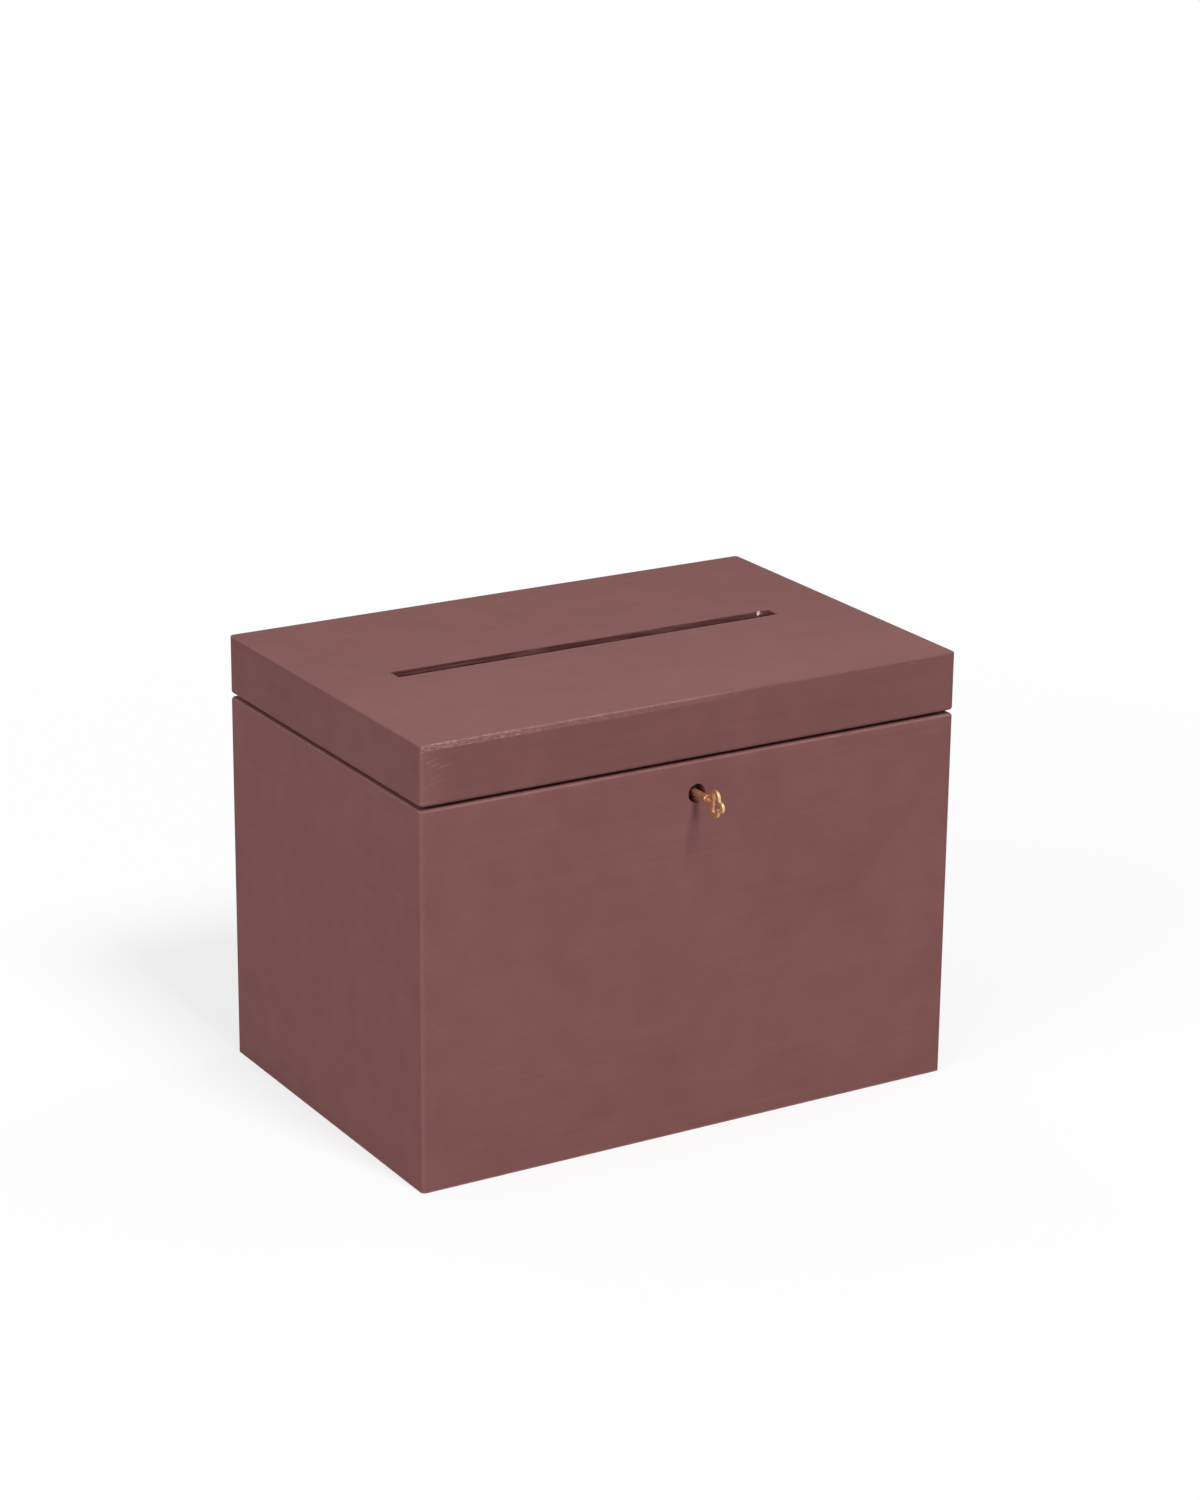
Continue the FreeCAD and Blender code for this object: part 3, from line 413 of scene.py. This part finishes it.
COPPER_METAL = 0.5
COPPER_METAL_SPREAD = 0.3
COPPER_ROUGHNESS = 0.28
COPPER_DULLNESS = 0.2
COPPER_RELIEF = 0.03 * MM
RING_RELIEF = 0.5
WEAR_RELIEF = 0.8


def zinc_steel(name, shades, lines):
    """Plain zinc-plated steel with the fine lines of its making."""
    material, steel = new_finish(name)
    place = steel.place()
    lined = steel.noise(place, lines, FINE)
    bloom = steel.noise(place, ZINC_BLOOMS, FINE)
    tone = lined * ZINC_LINES_SHARE + bloom * ZINC_BLOOM_SHARE
    steel.surface({
        "Base Color": steel.mix(tone, *shades),
        "Metallic": 1.0,
        "Roughness": ZINC_ROUGHNESS + bloom * BLOOM_ROUGHNESS + lined * LINE_ROUGHNESS,
        "Normal": steel.bump(lined, STEEL_RELIEF),
    })
    return material


def hinge_brass():
    """Polished brass, dulled a little in cloudy patches."""
    material, brass = new_finish("hinge_brass")
    place = brass.place()
    drawn = brass.noise(place, DRAWN_LINES, BROKEN)
    dull = brass.noise(place, BRASS_CLOUDS, FINE)
    brass.surface({
        "Base Color": brass.mix(dull, *POLISHED_BRASS),
        "Metallic": 1.0,
        "Roughness": BRASS_ROUGHNESS + dull * BRASS_DULLNESS + drawn * DRAWN_ROUGHNESS,
        "Normal": brass.bump(drawn, BRASS_RELIEF),
    })
    return material


def key_copper():
    """Worn coppery brass, paler and more golden towards the end of the bow, partly as wear and partly as a
    painted highlight.
    """
    material, copper = new_finish("key_copper")
    place = copper.place()
    dull = copper.noise(place, COPPER_CLOUDS, FINE)
    turned = copper.noise(place, SHANK_RINGS, BROKEN)
    # Painted highlight and wear: the bow is coloured paler gold towards its end
    handled_and_lit = copper.fade(copper.parts(place)[1], *GOLD_AND_HIGHLIGHT_FADE)
    colour = copper.mix(dull, *WORN_COPPER)
    height = turned * RING_RELIEF + dull * WEAR_RELIEF
    copper.surface({
        "Base Color": copper.mix(handled_and_lit * GOLD_AND_HIGHLIGHT_SHARE, colour, HANDLED_GOLD_AND_HIGHLIGHT),
        "Metallic": COPPER_METAL + dull * COPPER_METAL_SPREAD,
        "Roughness": COPPER_ROUGHNESS + dull * COPPER_DULLNESS,
        "Normal": copper.bump(height, COPPER_RELIEF),
    })
    return material


# Mesh helpers

def new_piece(name, mesh, finish, body, node):
    """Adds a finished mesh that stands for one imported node."""
    piece = bpy.data.objects.new(name, mesh)
    bpy.context.scene.collection.objects.link(piece)
    mesh.materials.clear()
    mesh.materials.append(finish)
    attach(piece, body)
    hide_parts(node)


def smooth_below(mesh, degrees):
    mesh.polygons.foreach_set("use_smooth", [True] * len(mesh.polygons))
    mesh.set_sharp_from_angle(angle=math.radians(degrees))


def add_loop(shape, points):
    return [shape.verts.new(point) for point in points]


def join_loops(shape, first, second):
    """Closes the band of faces between two loops with the same number of points."""
    for index in range(len(first)):
        after = (index + 1) % len(first)
        shape.faces.new((first[index], first[after], second[after], second[index]))


def join_all(shape, loops):
    for first, second in zip(loops, loops[1:]):
        join_loops(shape, first, second)


def cap_ends(shape, loops):
    shape.faces.new(loops[0])
    shape.faces.new(loops[-1])


def fill_between(shape, outer, inner):
    """Flat face between a rim and the hole inside it."""
    edges = []
    for loop in (outer, inner):
        for index, point in enumerate(loop):
            edges.append(shape.edges.get((point, loop[(index + 1) % len(loop)])))
    bmesh.ops.triangle_fill(shape, use_beauty=True, use_dissolve=False, edges=edges)


def to_mesh(shape, name, degrees):
    bmesh.ops.recalc_face_normals(shape, faces=shape.faces)
    mesh = bpy.data.meshes.new(name)
    shape.to_mesh(mesh)
    shape.free()
    smooth_below(mesh, degrees)
    return mesh


def steps(start, end, spacing):
    """Even steps from start up to, but not including, end."""
    count = max(1, round(abs(end - start) / spacing))
    return [start + (end - start) * index / count for index in range(count)]


def bell(value, middle, width):
    return math.exp(-((value - middle) / width) ** 2)


SHARP_CORNER = 40
LEVEL_FACE = 0.9999

# Top board with its rough front edge and the letter slot

CORNER_ROUND = 2.3 * MM
CORNER_STEPS = 8
UPPER_ROUND = 0.8 * MM
UPPER_STEPS = 7
FRONT_SPACING = 0.55 * MM
SIDE_SPACING = 4.0 * MM
RIM_SPACING = 0.14 * MM
UNTOUCHED_TOP = 0.02 * MM
FRONT_ONLY = 4

SLOT_MOUTH_ROUND = 0.4 * MM
SLOT_MOUTH_STEPS = 4
SLOT_SPACING = 0.6 * MM
SLOT_WALL_START = 0.6 * MM
SLOT_WALL_SPACING = 0.3 * MM
SLOT_CORNERS = (
    (-SLOT_HALF, SLOT_NEAR),
    (SLOT_HALF, SLOT_NEAR),
    (SLOT_HALF, SLOT_FAR),
    (-SLOT_HALF, SLOT_FAR),
)
SLOT_SIDES = ((0, -1), (1, 0), (0, 1), (-1, 0))
CHIP_DEPTH = 0.7 * MM
CHIP_WIDTH = 1.3 * MM
MOUTH_ROUGHNESS = 0.35 * MM
MOUTH_ROUGH_HEIGHT = 0.7 * MM
MOUTH_ROUGH_FROM = 20 * MM
MOUTH_ROUGH_REACH = 80 * MM
MOUTH_CHIPS = (330, 900)
MOUTH_CHIP_LEAST = 0.05
MOUTH_CHIP_PATTERN = 1.7

PLY_LINES = (1.0 * MM, 2.0 * MM)
PLY_LINE_DEPTH = 0.45 * MM
PLY_LINE_WIDTH = 0.18 * MM
PLY_LINE_WOBBLE = 0.25 * MM
PLY_TEAR_DEPTH = 0.35 * MM
PLY_WOBBLES = (130, 9.1)
PLY_WOBBLE_PATTERN = 3.3
PLY_BREAKS = (520, 7.7)
PLY_BREAK_PATTERN = 0.4
PLY_BREAK_EXTRA = 0.1
PLY_TEARS = (700, 1900)
PLY_TEAR_PATTERN = 5.2
PLY_TEAR_LEAST = 0.2
SOUND_PLY_FROM = 40 * MM
ROUGH_PLY_REACH = 190 * MM
SOUND_PLY_WEAR = 0.08
LEAST_PLY_WEAR = 0.12
PLY_WEAR_CURVE = 1.5

# Nicks in the front edge: place along it, height on the board, reach and depth
NICK_HEIGHT = 0.35 * MM
EDGE_NICKS = (
    (-146 * MM, 2.4 * MM, 2.2 * MM, 0.35 * MM),
    (-128 * MM, 1.9 * MM, 1.6 * MM, 0.30 * MM),
    (-96 * MM, 2.2 * MM, 1.4 * MM, 0.25 * MM),
    (41 * MM, 2.3 * MM, 3.5 * MM, 0.22 * MM),
    (92 * MM, 2.8 * MM, 1.3 * MM, 0.45 * MM),
)


def rim_points():
    """Points round the board, each with its outward direction, from the front left corner."""
    straight_x = HALF_LENGTH - CORNER_ROUND
    straight_y = HALF_DEPTH - CORNER_ROUND
    runs = (
        ((-straight_x, -HALF_DEPTH), (straight_x, -HALF_DEPTH), (0, -1), FRONT_SPACING),
        ((HALF_LENGTH, -straight_y), (HALF_LENGTH, straight_y), (1, 0), SIDE_SPACING),
        ((straight_x, HALF_DEPTH), (-straight_x, HALF_DEPTH), (0, 1), SIDE_SPACING),
        ((-HALF_LENGTH, straight_y), (-HALF_LENGTH, -straight_y), (-1, 0), SIDE_SPACING),
    )
    points = []
    for start, end, outward, spacing in runs:
        count = max(1, round(math.dist(start, end) / spacing))
        for index in range(count):
            points.append((Vector(start).lerp(Vector(end), index / count), Vector(outward)))
        centre = Vector(end) - Vector(outward) * CORNER_ROUND
        first_angle = math.atan2(outward[1], outward[0])
        for index in range(CORNER_STEPS):
            angle = first_angle + QUARTER_TURN * index / CORNER_STEPS
            direction = Vector((math.cos(angle), math.sin(angle)))
            points.append((centre + direction * CORNER_ROUND, direction))
    return points


def ply_wear(x):
    """How rough the ply is along the front edge, from nearly sound at the right to 1 at the left."""
    if x >= SOUND_PLY_FROM:
        return SOUND_PLY_WEAR
    worst = ((SOUND_PLY_FROM - x) / ROUGH_PLY_REACH) ** PLY_WEAR_CURVE
    return min(1.0, LEAST_PLY_WEAR + (1 - LEAST_PLY_WEAR) * worst)


def ply_depth(x, above):
    """How far the rough ply is broken back at a point of the board's front edge."""
    depth = 0.0
    for index, line in enumerate(PLY_LINES):
        wobbles = Vector((x * PLY_WOBBLES[0], index * PLY_WOBBLES[1], PLY_WOBBLE_PATTERN))
        middle = line + PLY_LINE_WOBBLE * noise.noise(wobbles)
        breaks = Vector((x * PLY_BREAKS[0], index * PLY_BREAKS[1], PLY_BREAK_PATTERN))
        broken = max(0.0, noise.noise(breaks) + PLY_BREAK_EXTRA)
        depth += PLY_LINE_DEPTH * broken * bell(above, middle, PLY_LINE_WIDTH)
    tears = Vector((x * PLY_TEARS[0], above * PLY_TEARS[1], PLY_TEAR_PATTERN))
    depth += PLY_TEAR_DEPTH * max(0.0, noise.noise(tears) - PLY_TEAR_LEAST)
    depth *= ply_wear(x)
    for place, level, reach, deep in EDGE_NICKS:
        depth += deep * bell(x, place, reach) * bell(above, level, NICK_HEIGHT)
    return depth


def board_levels():
    """Heights above the board's underside, each with how far the rim has drawn in there."""
    straight = steps(0.0, BOARD_THICKNESS - UPPER_ROUND, RIM_SPACING)
    curved = []
    for index in range(UPPER_STEPS + 1):
        angle = QUARTER_TURN * index / UPPER_STEPS
        above = BOARD_THICKNESS - UPPER_ROUND + UPPER_ROUND * math.sin(angle)
        curved.append((above, UPPER_ROUND * (1 - math.cos(angle))))
    return [(above, 0.0) for above in straight] + curved


def rim_loops(shape):
    """Rings of points up the board's rim, broken back where the ply on the front is rough."""
    rim = rim_points()
    loops = []
    for above, drawn_in in board_levels():
        points = []
        for point, outward in rim:
            facing_front = max(0.0, -outward.y) ** FRONT_ONLY
            depth = 0.0
            if above < BOARD_THICKNESS - UNTOUCHED_TOP:
                depth = facing_front * ply_depth(point.x, above)
            placed = point - outward * (drawn_in + depth)
            points.append((placed.x, placed.y, BOARD_LOW.z + above))
        loops.append(add_loop(shape, points))
    return loops


def slot_points():
    """Points round the slot, each with the direction into the wood."""
    points = []
    for index, corner in enumerate(SLOT_CORNERS):
        end = SLOT_CORNERS[(index + 1) % len(SLOT_CORNERS)]
        side = Vector(SLOT_SIDES[index])
        both_sides = side + Vector(SLOT_SIDES[index - 1])
        count = round(math.dist(corner, end) / SLOT_SPACING)
        for step in range(count):
            away = side if step else both_sides
            points.append((Vector(corner).lerp(Vector(end), step / count), away))
    return points


def slot_depth(point, level):
    """Chip and small roughness in the slot's mouth."""
    near_flake = (Vector((point.x, point.y, level)) - FLAKE_PLACE).length
    depth = CHIP_DEPTH * bell(near_flake, 0.0, CHIP_WIDTH)
    if point.y < 0:
        chips = Vector((point.x * MOUTH_CHIPS[0], level * MOUTH_CHIPS[1], MOUTH_CHIP_PATTERN))
        rough = max(0.0, noise.noise(chips) - MOUTH_CHIP_LEAST)
        left_share = min(1.0, max(0.0, (-point.x - MOUTH_ROUGH_FROM) / MOUTH_ROUGH_REACH))
        near_top = bell(level, BOARD_HIGH.z, MOUTH_ROUGH_HEIGHT)
        depth += MOUTH_ROUGHNESS * rough * left_share * near_top
    return depth


def slot_levels():
    """Heights down the slot, each with how far its rounded mouth is open there."""
    levels = []
    for index in range(SLOT_MOUTH_STEPS + 1):
        angle = QUARTER_TURN * (1 - index / SLOT_MOUTH_STEPS)
        down = SLOT_MOUTH_ROUND * (1 - math.sin(angle))
        levels.append((BOARD_HIGH.z - down, SLOT_MOUTH_ROUND * (1 - math.cos(angle))))
    for down in steps(SLOT_WALL_START, BOARD_THICKNESS, SLOT_WALL_SPACING):
        levels.append((BOARD_HIGH.z - down, 0.0))
    levels.append((BOARD_LOW.z, 0.0))
    return levels


def slot_loops(shape):
    """Rings of points down the slot's wall."""
    slot = slot_points()
    loops = []
    for level, open_by in slot_levels():
        points = []
        for point, away in slot:
            depth = slot_depth(point, level) if level < BOARD_HIGH.z else 0.0
            placed = point + away * (open_by + depth)
            points.append((placed.x, placed.y, level))
        loops.append(add_loop(shape, points))
    return loops


def make_top_board(finish):
    shape = bmesh.new()
    rim = rim_loops(shape)
    join_all(shape, rim)
    slot = slot_loops(shape)
    join_all(shape, slot)
    fill_between(shape, rim[-1], slot[0])
    fill_between(shape, rim[0], slot[-1])
    mesh = to_mesh(shape, "top_board", SHARP_CORNER)
    for face in mesh.polygons:
        face.use_smooth = abs(face.normal.z) < LEVEL_FACE
    new_piece("top_board", mesh, finish, "lid", "lid_top_panel")


# Key

BOW_HALF_THICKNESS = 0.7 * MM
BOW_RIM_ROUND = 0.32 * MM
BOW_RIM_STEPS = 4
BOW_STEPS = 180
BOW_EASING = 4
BOW_MIDDLE_Z = KEY_AXIS_Z - 0.4 * MM
BOW_LOBES = (
    ((-1.6 * MM, 3.0 * MM), 4.1 * MM),
    ((-1.9 * MM, -3.1 * MM), 4.2 * MM),
    ((3.5 * MM, -0.5 * MM), 2.8 * MM),
    ((0.0, 0.0), 3.6 * MM),
    ((-3.3 * MM, 0.0), 3.2 * MM),
)
BOW_HOLES = (
    ((-1.2 * MM, 3.9 * MM), 1.7 * MM),
    ((-1.1 * MM, -2.7 * MM), 1.9 * MM),
    ((2.4 * MM, -0.8 * MM), 1.6 * MM),
    ((-0.2 * MM, 0.3 * MM), 2.2 * MM),
)

# Places along the key and radii there, in millimetres
SHANK_SEGMENTS = 48
HOLLOW_TIP = (
    (-94.5, 0.4), (-94.2, 0.95), (-88.85, 0.95), (-88.7, 1.05),
    (-88.7, 1.45), (-88.9, 1.65), (-89.2, 1.8),
)
PLAIN_SHANK = ((-92.0, 1.8), (-96.0, 1.8), (-100.0, 1.8), (-104.0, 1.8), (-108.2, 1.8))
COLLAR = (
    (-108.4, 1.88), (-108.6, 2.05), (-108.9, 2.15), (-109.3, 2.15),
    (-109.6, 2.05), (-109.8, 1.88), (-110.1, 1.8),
)
NECK = ((-111.0, 1.66), (-112.0, 1.36), (-113.0, 1.0), (-114.0, 0.7), (-115.0, 0.5), (-115.4, 0.2))

# Places along the key and depths under its axis, in millimetres
BIT_OUTLINE = (
    (-92.6, 0.6), (-92.6, 4.3), (-92.4, 4.5), (-91.3, 4.5), (-91.2, 4.4), (-91.2, 2.9),
    (-90.5, 2.9), (-90.5, 4.4), (-90.4, 4.5), (-89.0, 4.5), (-88.8, 4.3), (-88.8, 0.6),
)
BIT_HALF_THICKNESS = 0.8
BIT_BEVEL = 0.12
BIT_END_BEVEL = 0.4
BIT_ROOT = 1.0
SHARP_BIT_CORNER = 30


def turned_shank():
    """Hollow tip, shank, collar and neck, turned about the key's axis."""
    shape = bmesh.new()
    loops = []
    for along, radius in HOLLOW_TIP + PLAIN_SHANK + COLLAR + NECK:
        reach = radius * MM
        points = []
        for index in range(SHANK_SEGMENTS):
            angle = FULL_TURN * index / SHANK_SEGMENTS
            points.append((reach * math.cos(angle), along * MM, KEY_AXIS_Z + reach * math.sin(angle)))
        loops.append(add_loop(shape, points))
    join_all(shape, loops)
    cap_ends(shape, loops)
    return to_mesh(shape, "shank", SHARP_CORNER)


def reach_in(circles, angle):
    """Farthest point of a group of circles from the bow's middle, in one direction."""
    direction = Vector((math.cos(angle), math.sin(angle)))
    reach = 0.0
    for centre, radius in circles:
        along = Vector(centre).dot(direction)
        aside = Vector(centre).length_squared - along ** 2
        if aside < radius ** 2:
            reach = max(reach, along + math.sqrt(radius ** 2 - aside))
    return reach


def soft_outline(circles):
    """Outline of the circles round the bow's middle, with its inner corners eased."""
    reaches = [reach_in(circles, FULL_TURN * index / BOW_STEPS) for index in range(BOW_STEPS)]
    window = range(-BOW_EASING, BOW_EASING + 1)
    outline = []
    for index in range(BOW_STEPS):
        nearby = [reaches[(index + shift) % BOW_STEPS] for shift in window]
        outline.append(sum(nearby) / len(nearby))
    return outline


def bow_section(half_width):
    """Flat bar with rounded rims: places across the ring, each with its place through the thickness."""
    flat_width = half_width - BOW_RIM_ROUND
    flat_thickness = BOW_HALF_THICKNESS - BOW_RIM_ROUND
    points = []
    for quarter, (wide, thick) in enumerate(((1, 1), (-1, 1), (-1, -1), (1, -1))):
        for step in range(BOW_RIM_STEPS + 1):
            turn = QUARTER_TURN * (quarter + step / BOW_RIM_STEPS)
            across = wide * flat_width + BOW_RIM_ROUND * math.cos(turn)
            through = thick * flat_thickness + BOW_RIM_ROUND * math.sin(turn)
            points.append((across, through))
    return points


def bow_ring():
    """Flat three-lobed ring, broad at the neck and slim at its end."""
    shape = bmesh.new()
    loops = []
    for index, (outer, inner) in enumerate(zip(soft_outline(BOW_LOBES), soft_outline(BOW_HOLES))):
        angle = FULL_TURN * index / BOW_STEPS
        middle = (outer + inner) / 2
        points = []
        for across, through in bow_section((outer - inner) / 2):
            reach = middle + across
            y = BOW_MIDDLE_Y - reach * math.cos(angle)
            z = BOW_MIDDLE_Z + reach * math.sin(angle)
            points.append((through, y, z))
        loops.append(add_loop(shape, points))
    join_all(shape, loops + loops[:1])
    return to_mesh(shape, "bow", SHARP_CORNER)


def key_bit():
    """Flat bit under the tip, with a slit for a ward."""
    layers = (
        (-BIT_HALF_THICKNESS, BIT_BEVEL),
        (-BIT_HALF_THICKNESS + BIT_BEVEL, 0.0),
        (BIT_HALF_THICKNESS - BIT_BEVEL, 0.0),
        (BIT_HALF_THICKNESS, BIT_BEVEL),
    )
    middle = sum(along for along, _ in BIT_OUTLINE) / len(BIT_OUTLINE)
    shape = bmesh.new()
    loops = []
    for x, shrink in layers:
        points = []
        for along, down in BIT_OUTLINE:
            nudge = math.copysign(shrink, middle - along) * BIT_END_BEVEL
            lift = shrink if down > BIT_ROOT else 0.0
            points.append((x * MM, (along + nudge) * MM, KEY_AXIS_Z - (down - lift) * MM))
        loops.append(add_loop(shape, points))
    join_all(shape, loops)
    cap_ends(shape, loops)
    return to_mesh(shape, "bit", SHARP_BIT_CORNER)


def united(meshes, name):
    """One closed mesh from several that pass into each other."""
    pieces = []
    for mesh in meshes:
        piece = bpy.data.objects.new(mesh.name, mesh)
        bpy.context.scene.collection.objects.link(piece)
        pieces.append(piece)
    for other in pieces[1:]:
        joint = pieces[0].modifiers.new("join", "BOOLEAN")
        joint.operation = "UNION"
        joint.solver = "EXACT"
        joint.object = other
    graph = bpy.context.evaluated_depsgraph_get()
    whole = bpy.data.meshes.new_from_object(pieces[0].evaluated_get(graph))
    whole.name = name
    for piece in pieces:
        bpy.data.objects.remove(piece)
    smooth_below(whole, SHARP_CORNER)
    return whole


def make_key(finish):
    mesh = united([turned_shank(), bow_ring(), key_bit()], "copper_key")
    new_piece("copper_key", mesh, finish, "key", "key")


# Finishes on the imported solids

def dress(node, finish):
    for slot in nodes[node].material_slots:
        slot.material = finish


BODY_EDGES = (0.0, BODY_TOP)
LID_EDGES = (LID_BOTTOM,)
BOARD_EDGES = (BOARD_HIGH.z,)
body_along = painted_wood("painted_wood_along", MAUVE, GRAIN_ALONG, BODY_EDGES, SIDE_SHEEN)
body_across = painted_wood("painted_wood_across", MAUVE, GRAIN_ACROSS, BODY_EDGES, SIDE_SHEEN)
lid_along = painted_wood("painted_lid_along", LID_MAUVE, GRAIN_ALONG, LID_EDGES, SIDE_SHEEN, end_grain)
lid_across = painted_wood("painted_lid_across", LID_MAUVE, GRAIN_ACROSS, LID_EDGES, SIDE_SHEEN, end_grain)
board_paint = painted_wood("painted_top_board", LID_MAUVE, GRAIN_ALONG, BOARD_EDGES, TOP_SHEEN, board_marks)
# Painted shade: the lock plate is coloured dark so it looks shaded inside the keyhole
shaded_steel_plate = zinc_steel("shaded_plate", SHADED_ZINC, ROLLED_LINES)
steel_sheet = zinc_steel("zinc_sheet", BRIGHT_ZINC, ROLLED_LINES)
steel_turned = zinc_steel("zinc_turned", BRIGHT_ZINC, TURNED_LINES)
brass = hinge_brass()

FINISHES = {
    body_along: ("front_wall", "rear_wall", "base_panel"),
    body_across: ("left_wall", "right_wall"),
    lid_along: ("lid_front_rail", "lid_rear_rail"),
    lid_across: ("lid_left_rail", "lid_right_rail"),
    brass: (
        "left_hinge_body_leaf", "left_hinge_lid_leaf", "left_hinge_pin", "right_hinge_body_leaf",
        "right_hinge_lid_leaf", "right_hinge_pin", "hinge_body_screws", "hinge_lid_screws",
    ),
    shaded_steel_plate: ("lock_plate",),
    steel_sheet: ("lock_case", "strike_plate"),
    steel_turned: ("turning_hook", "drill_pin", "hook_spring", "lock_screws", "strike_screws"),
}
for finish, names in FINISHES.items():
    for name in names:
        dress(name, finish)

make_top_board(board_paint)
make_key(key_copper())

# Studio

WHITE = (1.0, 1.0, 1.0, 1.0)
FLOOR_SHOWN = (0.9, 0.9, 0.9, 1.0)
FLOOR_BOUNCE = (0.5, 0.5, 0.5, 1.0)
FLOOR_REACH = 14.0
FLOOR_GLOW = 0.7
SHADOW_FADE = (0.3, 1.2)
AIR_LIGHT = 0.26
BOX_MIDDLE = Vector((0, 0, 0.11))

CAMERA_PLACE = Vector((-0.9468, -1.585, 0.790))
CAMERA_FORWARD = Vector((0.4882, 0.8123, -0.3192)).normalized()
CAMERA_ROLL = math.radians(0.55)
CAMERA_LENS = 93.56
CAMERA_SENSOR = 36.0

# Lamps: bearing from straight in front to the left, rise, distance, width and watts
LAMPS = {
    "front_lamp": (-5, 51, 10, 2.6, 740),
    "left_lamp": (74, 24, 4.5, 3.3, 106),
    "rear_lamp": (180, 9, 4.5, 1.4, 60),
    "right_lamp": (-100, 9, 4.5, 1.4, 60),
}


def seen_directly(finish):
    """1 for what the camera, a polished face or clear glass sees, and 0 for plain bounced light."""
    path = finish.node("ShaderNodeLightPath", {}, {})
    seen = path.output("Is Camera Ray").greater(path.output("Is Glossy Ray"))
    return seen.greater(path.output("Is Transmission Ray"))


def make_floor():
    """Pale floor that shows as white, and still takes the box's shadow close to it."""
    shape = bmesh.new()
    corners = ((-1, -1), (1, -1), (1, 1), (-1, 1))
    shape.faces.new(add_loop(shape, [(x * FLOOR_REACH, y * FLOOR_REACH, 0) for x, y in corners]))
    mesh = to_mesh(shape, "floor", SHARP_CORNER)
    floor = bpy.data.objects.new("floor", mesh)
    bpy.context.scene.collection.objects.link(floor)
    material, pale = new_finish("pale_floor")
    seen = seen_directly(pale)
    from_box = pale.node("ShaderNodeVectorMath", {"operation": "LENGTH"}, {0: pale.place()}).output("Value")
    far = pale.fade(from_box, *SHADOW_FADE)
    matt = pale.node("ShaderNodeBsdfDiffuse", {}, {"Color": pale.mix(seen, FLOOR_BOUNCE, FLOOR_SHOWN)})
    glow = pale.node("ShaderNodeEmission", {}, {"Color": WHITE, "Strength": 1.0})
    share = seen * (FLOOR_GLOW + far * (1 - FLOOR_GLOW))
    both = pale.node("ShaderNodeMixShader", {}, {0: share, 1: matt, 2: glow})
    pale.node("ShaderNodeOutputMaterial", {}, {"Surface": both})
    mesh.materials.append(material)


def make_air():
    world = bpy.data.worlds.new("studio_air")
    world.use_nodes = True
    air = Finish(world.node_tree)
    strength = AIR_LIGHT + seen_directly(air) * (1 - AIR_LIGHT)
    white = air.node("ShaderNodeBackground", {}, {"Color": WHITE, "Strength": strength})
    air.node("ShaderNodeOutputWorld", {}, {"Surface": white})
    bpy.context.scene.world = world


def make_lamp(name, bearing, rise, distance, width, watts):
    """Soft square lamp that looks at the box."""
    turn = math.radians(bearing)
    lift = math.radians(rise)
    level = Vector((-math.sin(turn), -math.cos(turn), 0)) * math.cos(lift)
    away = level + Vector((0, 0, math.sin(lift)))
    light = bpy.data.lights.new(name, "AREA")
    light.shape = "SQUARE"
    light.size = width
    light.energy = watts
    lamp = bpy.data.objects.new(name, light)
    bpy.context.scene.collection.objects.link(lamp)
    lamp.location = BOX_MIDDLE + away * distance
    lamp.rotation_euler = (-away).to_track_quat("-Z", "Y").to_euler()


def make_camera():
    level = CAMERA_FORWARD.cross(Vector((0, 0, 1))).normalized()
    upright = level.cross(CAMERA_FORWARD)
    across = math.cos(CAMERA_ROLL) * level + math.sin(CAMERA_ROLL) * upright
    upward = math.cos(CAMERA_ROLL) * upright - math.sin(CAMERA_ROLL) * level
    pose = Matrix((across, upward, -CAMERA_FORWARD)).transposed().to_4x4()
    pose.translation = CAMERA_PLACE
    view = bpy.data.cameras.new("camera")
    view.sensor_fit = "VERTICAL"
    view.sensor_height = CAMERA_SENSOR
    view.lens = CAMERA_LENS
    camera = bpy.data.objects.new("camera", view)
    bpy.context.scene.collection.objects.link(camera)
    camera.matrix_world = pose
    bpy.context.scene.camera = camera


make_floor()
make_air()
for name, settings in LAMPS.items():
    make_lamp(name, *settings)
make_camera()
bpy.context.scene.view_settings.view_transform = "Standard"
